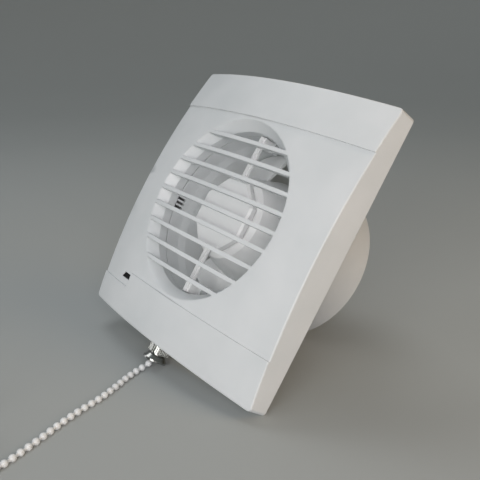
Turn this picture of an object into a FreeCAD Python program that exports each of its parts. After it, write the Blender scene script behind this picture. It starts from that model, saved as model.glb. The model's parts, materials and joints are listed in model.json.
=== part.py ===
"""Wall ventilation fan: bowed front cover with louvres, axial impeller, and a pull-chain switch.

The pieces are built in the fan's own bench frame: X to the right, Y up the cover, Z out of the wall
towards the room, the fan axis along Z and the wall face at Z = 0. The fan then stands on a table the
way it leans by itself: on the switch's bell, the cover's lower right corner and the duct spigot's rim.
"""
import FreeCAD, Part
import Sketcher
import math
import os
import re

Vector = FreeCAD.Vector

# Sizes in millimetres, with their names in the sheet; those that follow others are formulas
SIZES = (
    ("switch_space", 4.5, "between the inlet ring and the pull switch"),
    ("plate",
     "=2 * (ring_radius + ring_wall + switch_space + case_height + flange_thick + "
     "cover_wall)",
     "width and height of the square front cover"),
    ("plate_corner", 2.5, "corner radius of the cover, seen from the front"),
    ("edge_depth", 10.5, "depth of the cover at its corners"),
    ("bow_across", 8.9, "bow of the front from left to right"),
    ("bow_up", 7.9, "bow of the front from bottom to top"),
    ("cover_wall", 2.0, "wall of the cover"),
    ("edge_round", 0.8, "rounding along the front edges"),
    ("band_proud", 0.8, "step by which the top and bottom bands stand out"),
    ("band_gap", 1.8, "from the inlet opening to the band lines"),
    ("band_line", "=mouth_radius + band_gap", "height of the band lines from the middle"),
    ("tab_drop", 8.6, "how far the lower band line drops under the window"),
    ("tab_line", "=band_line + tab_drop", "lower band line at the left, under the window"),
    ("tab_edge", 41.0, "where the lower band line drops, left of the middle"),
    ("mouth_flare", 4.6, "by how much the inlet funnel widens to the front"),
    ("mouth_radius", "=throat_radius + mouth_flare", "inlet opening at the front"),
    ("mouth_depth",
     "=edge_depth + (bow_across + bow_up) * (1 - 2 * (mouth_radius / plate)^2) - "
     "band_proud",
     "front of the inlet funnel, from the wall"),
    ("throat_step", 0.1, "funnel's narrow end, wider than the inlet ring"),
    ("throat_radius", "=ring_radius + throat_step", "inlet funnel's narrow end"),
    ("funnel_length", 5.7, "inlet funnel along the fan axis"),
    ("throat_depth", "=mouth_depth - funnel_length", "inlet funnel's narrow end, from the wall"),
    ("collar_length", 5.4, "cover's collar behind the funnel"),
    ("collar_end", "=throat_depth - collar_length", "rear end of the cover's collar, from the wall"),
    ("collar_wall", 1.8, "wall of the funnel and collar"),
    ("bar_count", 9, "louvre bars"),
    ("bar_pitch", 9.95, "from bar to bar"),
    ("bar_thick", 2.2, "thickness of a bar"),
    ("bar_depth", 4.5, "depth of a bar, front to back"),
    ("window_side", 1.8, "window, left of the band line's drop"),
    ("window_right", "=tab_edge + window_side", "right side of the window, left of the middle"),
    ("window_drop", 1.5, "window below the band line"),
    ("window_top", "=band_line + window_drop", "top of the window, below the middle"),
    ("window_width", 8.1, "length of the window's top edge"),
    ("window_height", 3.2, "height of the window"),
    ("window_slant", 1.8, "how far the window's left side slants"),
    ("window_recess", 0.3, "window face behind the cover's face"),
    ("window_thick", 2.6, "thickness of the window"),
    ("fit_gap", 0.1, "gap round a piece that is pushed into place"),
    ("lamp_radius", 1.5, "indicator lamp"),
    ("lamp_length", 6.0, "indicator lamp"),
    ("base_gap", 0.3, "gap between the casing's base and the cover"),
    ("base_thick", 2.5, "base plate of the casing"),
    ("ring_step", 1.0, "inlet ring, wider than the spigot's bore"),
    ("ring_radius", "=spigot_radius - spigot_wall + ring_step", "inside of the casing's inlet ring"),
    ("ring_wall", 2.0, "wall of the inlet ring"),
    ("seam", 0.4, "gap between the cover's collar and the inlet ring"),
    ("spigot_radius", 48.0, "outside of the duct spigot"),
    ("spigot_wall", 1.5, "wall of the duct spigot"),
    ("spigot_length", 57.5, "duct spigot behind the wall face"),
    ("slot_pitch", 2.65, "from slot to slot in the inlet ring"),
    ("slot_width", 1.4, "slot in the inlet ring"),
    ("slot_length", 5.6, "slot in the inlet ring, along the axis"),
    ("slot_drop", 4.65, "middle slot below the fan axis"),
    ("screw_inset", 21.0, "wall screw, in from the cover's edge"),
    ("screw_circle", "=(plate - 2 * screw_inset) * sqrt(2)", "circle of the wall screws"),
    ("screw_hole", 2.25, "radius of a wall screw's hole"),
    ("pad_radius", 5.5, "raised pad round a wall screw's hole"),
    ("pad_rise", 1.0, "height of that pad on the base plate"),
    ("lug_width", 8.0, "lug that carries a motor arm"),
    ("lug_reach", 6.0, "lug, from the ring inwards"),
    ("lug_front", 6.0, "front of the lug, from the wall"),
    ("lug_thick", 4.0, "thickness of the lug"),
    ("notch_width", 5.0, "notch for the leads in the ring"),
    ("notch_depth", 3.0, "depth of that notch"),
    ("cap_lip", 0.7, "motor cap, wider than the hub"),
    ("cap_flat", "=2 * (hub_radius + cap_lip)", "motor cap across its flats"),
    ("arm_drop", 1.8, "arms behind the motor cap's face"),
    ("cap_front", "=arm_front + arm_drop", "front of the motor cap, from the wall"),
    ("cap_depth", 4.0, "depth of the motor cap"),
    ("cap_wall", 1.6, "wall of the motor cap"),
    ("cap_bevel", 1.2, "bevel round the cap's front"),
    ("arm_width", 3.0, "motor arm"),
    ("foot_width", 4.4, "foot of a motor arm"),
    ("arm_proud", 1.9, "arms in front of the inlet ring"),
    ("arm_front", "=collar_end - seam + arm_proud", "front of a motor arm, from the wall"),
    ("arm_depth", "=cap_depth - arm_drop", "motor arm, front to back"),
    ("arm_gap", 0.3, "gap between an arm's end and the ring"),
    ("ledge_width", 0.9, "ledge along the right side of a motor arm"),
    ("ledge_depth", 0.8, "ledge behind the front of a motor arm"),
    ("channel_width", "=4 * wire_radius + 2 * fit_gap", "lead channel in the back of a motor arm"),
    ("lead_space", 0.3, "between the motor leads and the front of the hub"),
    ("screw_bite", 3.0, "how far an arm's screw goes into its foot"),
    ("small_screw", 1.2, "shank radius of the small screws"),
    ("small_head", 2.5, "head radius of the small screws"),
    ("head_height", 1.6, "head height of the small screws"),
    ("thread_gap", 0.05, "gap round a screw's shank or thread"),
    ("post_radius", 5.0, "bearing post of the motor"),
    ("washer_thick", 0.6, "thrust washer"),
    ("post_rear",
     "=hub_rear - boss_length - washer_thick - 2 * fit_gap",
     "rear end of the post, behind the wall face"),
    ("bearing_radius", 3.5, "outside of the sleeve bearing"),
    ("shaft_stub", 3.0, "shaft in front of the bearing"),
    ("bearing_length", "=shaft_front + post_rear - shaft_stub", "sleeve bearing"),
    ("shaft_radius", 1.5, "motor shaft"),
    ("shaft_space", 0.4, "between the shaft and the circuit board"),
    ("shaft_front",
     "=cap_front - cap_wall - board_gap - board_thick - shaft_space",
     "front end of the shaft, from the wall"),
    ("run_gap", 0.03, "running clearance of the shaft"),
    ("clip_radius", 2.9, "retaining clip on the shaft"),
    ("clip_thick", 0.6, "retaining clip on the shaft"),
    ("groove_deep", 0.3, "groove of the clip in the shaft"),
    ("board_side", 1.6, "gap round the circuit board in the cap"),
    ("board_radius", "=cap_flat / 2 - cap_wall - board_side", "circuit board in the motor cap"),
    ("board_thick", 1.2, "circuit board in the motor cap"),
    ("board_gap", 0.3, "circuit board behind the cap's face"),
    ("winding_space", 4.3, "room for the windings between the stator's ring and shoes"),
    ("hub_radius",
     "=post_radius + stator_ring + winding_space + shoe_thick + air_gap + magnet_wall + "
     "yoke_wall + hub_wall",
     "motor cup in the middle of the hub"),
    ("hub_gap", 0.6, "between the hub and the motor cap"),
    ("hub_front", "=cap_front - cap_depth - hub_gap", "front of the hub, from the wall"),
    ("hub_rear", 9.0, "rear of the motor cup, behind the wall face"),
    ("hub_wall", 1.5, "wall of the hub"),
    ("skirt_step", 3.2, "front of the hub's skirt, beyond the motor cap's flats"),
    ("skirt_front", "=cap_flat / 2 + skirt_step", "front radius of the hub's skirt"),
    ("skirt_flare", 8.6, "by how much the hub's skirt widens to the rear"),
    ("skirt_rear", 16.0, "rear of the hub's skirt, behind the wall face"),
    ("boss_radius", 4.0, "boss of the hub round the shaft"),
    ("boss_length", 3.2, "boss of the hub along the shaft"),
    ("skirt_bevel", 2.0, "bevel round the front of the hub's skirt"),
    ("blade_count", 5, "impeller blades"),
    ("blade_turn", 43.0, "turn of the blades at rest, in degrees"),
    ("tip_gap", 0.9, "between the blades and the duct"),
    ("tip_radius", "=spigot_radius - spigot_wall - tip_gap", "impeller's outside"),
    ("blade_thick", 1.8, "thickness of a blade, along the axis"),
    ("root_half", 9.5, "half width of a blade at its root"),
    ("root_front", 5.0, "front edge of a blade at its root, behind the wall face"),
    ("root_back", 13.5, "back edge of a blade at its root, behind the wall face"),
    ("root_curve", 24.0, "radius of a blade's curve at its root"),
    ("tip_half", 26.5, "half width of a blade at its tip"),
    ("tip_front", 11.5, "front edge of a blade at its tip, behind the wall face"),
    ("tip_back", 21.5, "back edge of a blade at its tip, behind the wall face"),
    ("tip_curve", 70.0, "radius of a blade's curve at its tip"),
    ("yoke_wall", 1.2, "steel ring in the hub"),
    ("yoke_length", 15.0, "steel ring in the hub"),
    ("magnet_wall", 2.0, "magnet ring"),
    ("magnet_length", 13.0, "magnet ring"),
    ("air_gap", 0.5, "between magnet ring and stator"),
    ("stack_length", 9.0, "stator stack"),
    ("stack_rear", 3.0, "rear of the stator stack, behind the wall face"),
    ("stator_ring", 3.0, "wall of the stator's inner ring"),
    ("pole_width", 4.0, "stator pole"),
    ("shoe_thick", 2.0, "pole shoe"),
    ("shoe_slot", 3.0, "slot between two pole shoes"),
    ("coil_wall", 2.0, "winding round a pole"),
    ("coil_gap", 0.2, "gap between a winding and its pole"),
    ("block_side", 4.5, "between the terminal block and the screw pad"),
    ("block_left",
     "=plate / 2 - screw_inset - pad_radius - block_side - block_length",
     "left side of the terminal block"),
    ("block_space", 1.5, "between the inlet ring and the terminal block"),
    ("block_low", "=ring_radius + ring_wall + block_space", "lower side of the terminal block"),
    ("block_end", 1.4, "terminal block's wall beside the outer screws"),
    ("block_length", "=2 * (terminal_pitch + small_head + fit_gap + block_end)", "terminal block"),
    ("block_width", 9.0, "terminal block"),
    ("block_height", 9.0, "terminal block"),
    ("port_floor", 1.0, "wire port above the base plate"),
    ("terminal_pitch", 7.0, "from terminal to terminal"),
    ("clamp_width", 6.0, "cable clamp"),
    ("clamp_rise", 4.0, "cable clamp's arch over the base"),
    ("clamp_thick", 1.6, "cable clamp"),
    ("clamp_foot", 7.4, "foot of the cable clamp"),
    ("grommet_x", "=block_left + block_length / 2", "cable inlet, right of the middle"),
    ("inlet_space", 1.0, "between the cable inlet and the cover"),
    ("grommet_y",
     "=plate / 2 - cover_wall - grommet_flange - inlet_space",
     "cable inlet, above the middle"),
    ("grommet_neck", 3.8, "cable inlet's hole in the base"),
    ("grommet_bore", 2.8, "cable inlet's bore"),
    ("grommet_flange", 5.0, "cable inlet's flange"),
    ("grommet_rise", 1.5, "cable inlet's flange thickness"),
    ("lead_tunnel", "=2 * wire_radius + 4 * fit_gap", "height of the lead tunnel in an arm's foot"),
    ("lead_inset", 5.0, "motor leads behind the board, from its rim"),
    ("lead_spread", 2.0, "between two leads that run side by side"),
    ("wire_radius", 0.45, "insulated lead"),
    ("back_space", 1.7, "between the base plate and the switch body"),
    ("pull_depth", "=base_thick + back_space + case_depth / 2", "pull switch's axis, from the wall"),
    ("thread_show", 1.0, "thread that shows between the nut and the bell"),
    ("bell_reach", "=nut_height + thread_show + bell_length", "end of the bell below the cover"),
    ("bell_length", 3.4, "bell"),
    ("bell_flare", 2.0, "by how much the bell widens"),
    ("bell_radius", "=bell_neck + bell_flare", "bell's wide end"),
    ("bell_wall", 0.7, "wall of the bell round the barrel"),
    ("bell_neck", "=barrel_radius + bell_wall", "bell's narrow end"),
    ("bell_mouth", 4.8, "flared mouth in the bell"),
    ("nut_wall", 1.9, "wall of the knurled nut"),
    ("nut_radius", "=barrel_radius + nut_wall", "knurled nut"),
    ("nut_height", 4.8, "knurled nut"),
    ("knurl_count", 36, "grooves round the knurled nut"),
    ("knurl_deep", 0.25, "groove in the knurled nut"),
    ("barrel_radius", 4.0, "threaded barrel"),
    ("barrel_top", 9.0, "barrel above the inside of the cover's bottom wall"),
    ("flange_lip", 2.0, "how far the barrel's flange stands out"),
    ("barrel_flange", "=barrel_radius + flange_lip", "flange of the barrel"),
    ("flange_thick", 1.5, "flange of the barrel"),
    ("thread_pitch", 1.0, "thread of the barrel"),
    ("thread_deep", 0.4, "thread of the barrel"),
    ("plunger_radius", 2.15, "switch plunger"),
    ("plunger_gap", 0.05, "running clearance of the plunger"),
    ("head_lip", 1.4, "how far the plunger's head stands out"),
    ("plunger_head", "=plunger_radius + head_lip", "head of the plunger"),
    ("head_thick", 2.0, "head of the plunger"),
    ("plunger_travel", 6.0, "pull of the chain"),
    ("plunger_reach", 1.0, "lower end of the plunger below the cover"),
    ("plunger_end", "=plate / 2 + plunger_reach", "lower end of the plunger, below the fan axis"),
    ("cam_space", 0.5, "between the cam and the switch body"),
    ("case_half", "=cam_offset + cam_radius + cam_space + case_wall", "half width of the switch body"),
    ("head_space", 0.4, "between the plunger's head and the switch body"),
    ("case_height",
     "=barrel_top - flange_thick + 2 * spring_wire * (spring_turns + 1) + 2 * spring_space "
     "+ plunger_travel + head_thick + head_space + case_wall",
     "switch body, up from the barrel's flange"),
    ("lid_space", 0.5, "between the switch's lid and the cover"),
    ("case_depth",
     "=edge_depth + bow_across * (1 - (2 * case_half / plate)^2) + bow_up * (1 - (1 - 2 * "
     "(cover_wall + flange_thick) / plate)^2) - cover_wall - band_proud - lid_thick - "
     "lid_space - base_thick - back_space",
     "switch body, front to back"),
    ("case_wall", 1.5, "wall of the switch body"),
    ("lid_thick", 0.8, "lid of the switch body"),
    ("cam_radius", 2.6, "ratchet cam"),
    ("cam_thick", 4.0, "ratchet cam"),
    ("cam_teeth", 8, "teeth of the ratchet cam"),
    ("cam_gap", 0.4, "between the cam and the plunger's head"),
    ("cam_offset", "=plunger_head + cam_radius + cam_gap", "cam's pin beside the plunger"),
    ("pin_radius", 0.8, "cam's pin"),
    ("contact_thick", 0.8, "contact strip"),
    ("contact_width", 3.0, "contact strip"),
    ("spring_wire", 0.25, "radius of the spring's wire"),
    ("spring_turns", 6, "turns of the spring"),
    ("spring_space", 0.3, "between the spring and its seats"),
    ("bead", 3.7, "diameter of the chain's beads"),
    ("coil_outer", 21.8, "outer turn of the put-away chain"),
    ("turn_gap", 0.6, "between turns of the put-away chain"),
    ("coil_pitch", "=bead + turn_gap", "from turn to turn of the put-away chain"),
    ("coil_turns", 4.5, "turns of the put-away chain, in two layers"),
    ("layer_gap", 0.5, "between layers of the put-away chain"),
    ("layer_rise", "=bead + layer_gap", "from layer to layer of the put-away chain"),
    ("tie_thick", 0.5, "tie round the put-away chain"),
    ("tie_width", 3.0, "tie round the put-away chain"),
    ("tie_gap", 0.3, "between the tie and the chain"),
    ("tail", 14.0, "free end of the chain between the coil and the knob"),
    ("knob_length", 24.0, "pull knob"),
    ("neck_wall", 1.0, "wall of the knob's narrow end"),
    ("knob_neck", "=bead / 2 + neck_wall", "pull knob's narrow end"),
    ("knob_bore", 3.0, "depth of the chain in the knob"),
)

# Route of the chain on the table, from the point under the bell's mouth, in millimetres
CHAIN_ON_TABLE = (
    (0.8, -8.6), (4.6, -18.2), (9.8, -27.0), (16.4, -39.4), (20.2, -51.0), (25.4, -63.4), (33.4, -78.6),
    (41.2, -95.6),
)
CHAIN_HEADING = math.radians(-68.0)
COIL_ENTRY = (52.6, -122.0)
BENCH_UP = Vector(0, 1, 0)

doc = FreeCAD.newDocument("ventilation_fan")
sheet = doc.addObject("Spreadsheet::Sheet", "Sizes")
for row, (alias, value, meaning) in enumerate(SIZES, 1):
    sheet.set("A%d" % row, meaning)
    sheet.setAlias("B%d" % row, alias)
for alias, value, meaning in SIZES:
    sheet.set(alias, str(value))
doc.recompute()

ALIASES = {alias for alias, value, meaning in SIZES}
PIECES = []
CORD = []


def cell(text):
    """An expression with the sheet's name put before each size."""
    return re.sub(r"[a-z][a-z_]*", lambda word: ("Sizes." if word[0] in ALIASES else "") + word[0], text)


def number(text):
    """The present value of an expression of the sizes."""
    return float(sheet.evalExpression(cell(text)))


def bind(thing, **sizes):
    for name, text in sizes.items():
        thing.setExpression(name, cell(text))
    return thing


def place(thing, x="0", y="0", z="0"):
    for axis, text in zip("xyz", (x, y, z)):
        thing.setExpression("Placement.Base." + axis, cell(text))
    return thing


def origin(body, role):
    return next(feature for feature in body.Origin.OriginFeatures if feature.Role == role)


def new_sketch(body, name, role, level="0"):
    sketch = body.newObject("Sketcher::SketchObject", name)
    sketch.AttachmentSupport = [(origin(body, role), "")]
    sketch.MapMode = "FlatFace"
    sketch.setExpression("AttachmentOffset.Base.z", cell(level))
    return sketch


def pin_point(sketch, geometry, end, x, y):
    """Holds one end of a sketch line at x and y, both expressions of the sizes."""
    for kind, text in (("DistanceX", x), ("DistanceY", y)):
        index = sketch.addConstraint(Sketcher.Constraint(kind, -1, 1, geometry, end, number(text)))
        sketch.setExpression("Constraints[%d]" % index, cell(text))


def hold_radius(sketch, geometry, text):
    index = sketch.addConstraint(Sketcher.Constraint("Radius", geometry, number(text)))
    sketch.setExpression("Constraints[%d]" % index, cell(text))


def outline(body, name, role, points, level="0"):
    """A closed straight-sided sketch through points."""
    sketch = new_sketch(body, name, role, level)
    corners = [Vector(number(x), number(y), 0) for x, y in points]
    for start, end in zip(corners, corners[1:] + corners[:1]):
        sketch.addGeometry(Part.LineSegment(start, end), False)
    for i, (x, y) in enumerate(points):
        sketch.addConstraint(Sketcher.Constraint("Coincident", i, 2, (i + 1) % len(points), 1))
        pin_point(sketch, i, 1, x, y)
    return sketch


def square(side):
    half = "(%s) / 2" % side
    return [("-" + half, "-" + half), (half, "-" + half), (half, half), ("-" + half, half)]


def padded(name, points, low, height):
    """A body extruded along Z from an outline at the height low."""
    body = doc.addObject("PartDesign::Body", name)
    sketch = outline(body, name + "_outline", "XY_Plane", points, low)
    pad = body.newObject("PartDesign::Pad", name + "_pad")
    pad.Profile = sketch
    bind(pad, Length=height)
    doc.recompute()
    return body


def turned(name, points, role="XZ_Plane"):
    """A body turned from a profile of radius and height: about Z, or about Y with the XY plane."""
    body = doc.addObject("PartDesign::Body", name)
    sketch = outline(body, name + "_profile", role, points)
    turn = body.newObject("PartDesign::Revolution", name + "_turn")
    turn.Profile = sketch
    turn.ReferenceAxis = (sketch, ["V_Axis"])
    turn.Angle = 360
    return body


def tube(name, inner, outer, low, high, role="XZ_Plane"):
    return turned(name, [(inner, low), (outer, low), (outer, high), (inner, high)], role)


def box(name, x, y, z):
    """A box from expressions of its two limits along each axis."""
    block = doc.addObject("Part::Box", name)
    bind(block, Length="(%s) - (%s)" % x[::-1], Width="(%s) - (%s)" % y[::-1],
         Height="(%s) - (%s)" % z[::-1])
    return place(block, x[0], y[0], z[0])


def rod(name, radius, low, high, x="0", y="0"):
    """A round rod along Z."""
    round_bar = doc.addObject("Part::Cylinder", name)
    bind(round_bar, Radius=radius, Height="(%s) - (%s)" % (high, low))
    return place(round_bar, x, y, low)


def fuse(name, *things):
    joined = doc.addObject("Part::MultiFuse", name)
    joined.Shapes = list(things)
    return joined


def common(name, *things):
    shared = doc.addObject("Part::MultiCommon", name)
    shared.Shapes = list(things)
    return shared


def cut(name, base, *tools):
    result = doc.addObject("Part::Cut", name)
    result.Base = base
    result.Tool = tools[0] if len(tools) == 1 else fuse(name + "_tools", *tools)
    return result


def piece(thing):
    """Counts an object as one of the fan's pieces: its name is the piece's name."""
    PIECES.append(thing)
    return thing


def group(name, *things):
    """A piece, or several like ones, that already have their places."""
    whole = doc.addObject("Part::Compound", name)
    whole.Links = list(things)
    return piece(whole)


def edge_names(shape, wanted):
    return ["Edge%d" % i for i, edge in enumerate(shape.Edges, 1) if wanted(edge)]


def is_upright(edge):
    ends = [vertex.Point for vertex in edge.Vertexes]
    return len(ends) == 2 and (ends[1] - ends[0]).getAngle(Vector(0, 0, 1)) in (0.0, math.pi)


def round_edges(body, name, wanted, radius):
    doc.recompute()
    base = body.Tip
    fillet = body.newObject("PartDesign::Fillet", name)
    fillet.Base = (base, edge_names(base.Shape, wanted))
    bind(fillet, Radius=radius)
    doc.recompute()


# Heights and radii that several pieces share
CROWN = "(edge_depth + bow_across + bow_up)"
ACROSS_RADIUS = "(((plate / 2)^2 + bow_across^2) / (2 * bow_across))"
UP_RADIUS = "(((plate / 2)^2 + bow_up^2) / (2 * bow_up))"
ABOVE = "(%s + 2)" % CROWN
BEYOND = "(%s + 3 * bow_across)" % ABOVE
RING_FRONT = "(collar_end - seam)"
CHANNEL_FLOOR = "(hub_front + lead_space + 2 * wire_radius + fit_gap)"
ROOT_RADIUS = "(skirt_front + skirt_flare * (hub_front + root_front) / (hub_front + skirt_rear))"
CAVITY = "(plate - 2 * cover_wall)"
WALL_INSIDE = "(cover_wall - plate / 2)"
COIL_HEIGHT = "(bead / 2 + tie_thick + tie_gap)"
KNOB_RADIUS = "(%s + layer_rise)" % COIL_HEIGHT


def crowned_block(name, side, corner, drop, rounding=None):
    """A square block whose front has the cover's double bow, set back by drop."""
    body = padded(name, square(side), "0", ABOVE)
    round_edges(body, name + "_corners", is_upright, corner)
    reach = number("plate / 2 + 10")
    top = number("%s - (%s)" % (CROWN, drop))
    radius = number(UP_RADIUS)
    spread = math.asin(reach / radius)
    centre = Vector(0, top - radius, 0)
    side_y = centre.y + radius * math.cos(spread)
    far = number(BEYOND)
    axis_y = number("%s - %s" % (CROWN, ACROSS_RADIUS))
    sketch = new_sketch(body, name + "_front", "YZ_Plane")
    circle = Part.Circle(centre, Vector(0, 0, 1), radius)
    sketch.addGeometry(Part.ArcOfCircle(circle, math.pi / 2 - spread, math.pi / 2 + spread), False)
    sketch.addGeometry(Part.LineSegment(Vector(reach, side_y, 0), Vector(reach, far, 0)), False)
    sketch.addGeometry(Part.LineSegment(Vector(reach, far, 0), Vector(-reach, far, 0)), False)
    sketch.addGeometry(Part.LineSegment(Vector(-reach, far, 0), Vector(-reach, side_y, 0)), False)
    sketch.addGeometry(Part.LineSegment(Vector(-reach, axis_y, 0), Vector(reach, axis_y, 0)), True)
    for first, end, second, start in ((0, 1, 1, 1), (1, 2, 2, 1), (2, 2, 3, 1), (3, 2, 0, 2)):
        sketch.addConstraint(Sketcher.Constraint("Coincident", first, end, second, start))
    pin_point(sketch, 0, 3, "0", "%s - (%s) - %s" % (CROWN, drop, UP_RADIUS))
    hold_radius(sketch, 0, UP_RADIUS)
    pin_point(sketch, 1, 2, "plate / 2 + 10", BEYOND)
    pin_point(sketch, 2, 2, "-plate / 2 - 10", BEYOND)
    sketch.addConstraint(Sketcher.Constraint("Vertical", 1))
    sketch.addConstraint(Sketcher.Constraint("Vertical", 3))
    pin_point(sketch, 4, 1, "-plate / 2 - 10", "%s - %s" % (CROWN, ACROSS_RADIUS))
    pin_point(sketch, 4, 2, "plate / 2 + 10", "%s - %s" % (CROWN, ACROSS_RADIUS))
    groove = body.newObject("PartDesign::Groove", name + "_bow")
    groove.Profile = sketch
    groove.ReferenceAxis = (sketch, ["Axis0"])
    groove.Angle = 50
    groove.Midplane = True
    if rounding:
        limit = number("edge_depth - (%s)" % drop) - 0.01
        round_edges(body, name + "_edge", lambda edge: edge.BoundBox.ZMin > limit, rounding)
    return body


def build_cover():
    """Front cover: shell with three bands, inlet funnel with its collar, and louvre bars."""
    middle = crowned_block("cover_middle", "plate", "plate_corner", "band_proud", "edge_round")
    proud = crowned_block("cover_proud", "plate", "plate_corner", "0", "edge_round")
    hollow = crowned_block("cover_hollow", CAVITY, "plate_corner", "cover_wall + band_proud")
    top_band = box("top_band", ("-plate", "plate"), ("band_line", "plate"), ("-1", ABOVE))
    low_band = padded("low_band", [
        ("-plate", "-tab_line"), ("-tab_edge - band_proud", "-tab_line"), ("-tab_edge", "-band_line"),
        ("plate", "-band_line"), ("plate", "-plate"), ("-plate", "-plate")], "-1", ABOVE)
    bands = common("cover_bands", proud, fuse("band_areas", top_band, low_band))
    shell = cut("cover_shell", fuse("cover_skin", middle, bands), hollow)
    funnel = turned("cover_funnel", [
        ("throat_radius - 1", "collar_end"), ("throat_radius + collar_wall", "collar_end"),
        ("throat_radius + collar_wall", "throat_depth - collar_wall / 2"),
        ("mouth_radius + collar_wall", "mouth_depth - cover_wall / 2"),
        ("throat_radius - 1", "mouth_depth - cover_wall / 2")])
    flare = "(mouth_radius - throat_radius) / (mouth_depth - throat_depth)"
    mouth = turned("cover_mouth", [
        ("0", "collar_end - 1"), ("throat_radius", "collar_end - 1"), ("throat_radius", "throat_depth"),
        ("mouth_radius + 8 * %s" % flare, "mouth_depth + 8"), ("0", "mouth_depth + 8")])
    reach = turned("bar_reach", [
        ("0", "throat_depth"), ("throat_radius + collar_wall / 3", "throat_depth"),
        ("mouth_radius + collar_wall / 3 + 8 * %s" % flare, "mouth_depth + 8"), ("0", "mouth_depth + 8")])
    bars = []
    for i in range(int(number("bar_count"))):
        height = "(%d - (bar_count - 1) / 2) * bar_pitch" % i
        bars.append(box("bar_%d" % (i + 1), ("-mouth_radius - 2", "mouth_radius + 2"),
                        (height + " - bar_thick / 2", height + " + bar_thick / 2"),
                        ("throat_depth", ABOVE)))
    behind = crowned_block("bar_behind", "plate", "plate_corner", "band_proud + bar_depth")
    front = crowned_block("bar_front", "plate", "plate_corner", "band_proud")
    louvre = cut("louvre", common("bar_lengths", fuse("bar_stock", *bars), reach, front), behind)
    open_cover = cut("open_cover", fuse("cover_with_funnel", shell, funnel), mouth)
    window_hole = padded("window_hole", window_outline("0"), "edge_depth / 2", ABOVE)
    barrel_hole = turned("barrel_hole", [
        ("0", "-plate / 2 - 1"), ("barrel_radius + fit_gap", "-plate / 2 - 1"),
        ("barrel_radius + fit_gap", WALL_INSIDE + " + 1"), ("0", WALL_INSIDE + " + 1")], "XY_Plane")
    place(barrel_hole, z="pull_depth")
    piece(cut("front_cover", fuse("barred_cover", open_cover, louvre), window_hole, barrel_hole))


def window_outline(gap):
    left = "-window_right - window_width"
    low = "-window_top - window_height"
    return [
        ("%s + %s" % (left, gap), "-window_top - " + gap),
        ("-window_right - " + gap, "-window_top - " + gap),
        ("-window_right - " + gap, "%s + %s" % (low, gap)),
        ("%s - window_slant + %s" % (left, gap), "%s + %s" % (low, gap))]


def build_indicator():
    """Dark window at the lower left, with its lamp against its back."""
    across = "(2 * (window_right + window_width) / plate)^2"
    upward = "(2 * (window_top + window_height) / plate)^2"
    face = "%s - bow_across * %s - bow_up * %s - band_proud - window_recess" % (CROWN, across, upward)
    back = "(%s - window_thick)" % face
    group("indicator_window", padded("window_lens", window_outline("fit_gap"), back, "window_thick"))
    lamp = turned("lamp_glass", [
        ("0", "-lamp_length"), ("lamp_radius", "-lamp_length"), ("lamp_radius", "-lamp_radius / 2"),
        ("lamp_radius / 2", "0"), ("0", "0")])
    place(lamp, "-window_right - (window_width + window_slant / 2) / 2", "-window_top - window_height / 2",
          back)
    group("indicator_lamp", lamp)


def wall_screw_places():
    quarter = "screw_circle / 2 * sqrt(2) / 2"
    return [(across + quarter, up + quarter) for across in ("", "-") for up in ("", "-")]


def build_casing():
    """Casing: base plate on the wall, inlet ring with its slots, duct spigot, and lugs for the motor."""
    base = padded("casing_base", square(CAVITY + " - 2 * base_gap"), "0", "base_thick")
    round_edges(base, "casing_base_corners", is_upright, "plate_corner")
    duct = turned("casing_duct", [
        ("0", "-spigot_length"), ("spigot_radius", "-spigot_length"), ("spigot_radius", "0"),
        ("ring_radius + ring_wall", "0"), ("ring_radius + ring_wall", RING_FRONT), ("0", RING_FRONT)])
    bore = turned("casing_bore", [
        ("0", "-spigot_length - 1"), ("spigot_radius - spigot_wall", "-spigot_length - 1"),
        ("spigot_radius - spigot_wall", "-base_thick"), ("ring_radius", "base_thick"),
        ("ring_radius", RING_FRONT + " + 1"), ("0", RING_FRONT + " + 1")])
    pads = []
    holes = []
    for i, (x, y) in enumerate(wall_screw_places(), 1):
        pads.append(rod("screw_pad_%d" % i, "pad_radius", "0", "base_thick + pad_rise", x, y))
        holes.append(rod("wall_hole_%d" % i, "screw_hole", "-1", "base_thick + pad_rise + 1", x, y))
    slots = []
    for i in range(3):
        middle = "-slot_drop + (%d - 1) * slot_pitch" % i
        slots.append(box("ring_slot_%d" % (i + 1), ("-ring_radius - ring_wall - 1", "-ring_radius + 3"),
                         (middle + " - slot_width / 2", middle + " + slot_width / 2"),
                         (RING_FRONT + " - slot_length", RING_FRONT + " + 1")))
    lugs = []
    for name, sign in (("top", 1), ("low", -1)):
        ends = sorted(("%d * (ring_radius - lug_reach)" % sign,
                       "%d * (ring_radius + ring_wall / 2)" % sign), key=number)
        lugs.append(box(name + "_lug", ("-lug_width / 2", "lug_width / 2"), tuple(ends),
                        ("lug_front - lug_thick", "lug_front")))
        holes.append(rod(name + "_lug_hole", "small_screw + fit_gap", "lug_front - lug_thick - 1",
                         "lug_front + 1",
                         y="%d * (ring_radius - lug_reach / 2)" % sign))
    notch = box("lead_notch", ("-notch_width / 2", "notch_width / 2"),
                ("ring_radius - 1", "ring_radius + ring_wall + 1"),
                (RING_FRONT + " - notch_depth", RING_FRONT + " + 1"))
    inlet = rod("inlet_hole", "grommet_neck", "-1", "base_thick + 1", "grommet_x", "grommet_y")
    hollow = cut("casing_hollow", fuse("casing_stock", base, duct, *pads), bore)
    piece(cut("casing", fuse("casing_lugged", hollow, *lugs), notch, inlet, *slots, *holes))


def octagon(half):
    side = "(%s) * tan(22.5)" % half
    half = "(%s)" % half
    return [(side, half), ("-" + side, half), ("-" + half, side), ("-" + half, "-" + side),
            ("-" + side, "-" + half), (side, "-" + half), (half, "-" + side), (half, side)]


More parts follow.
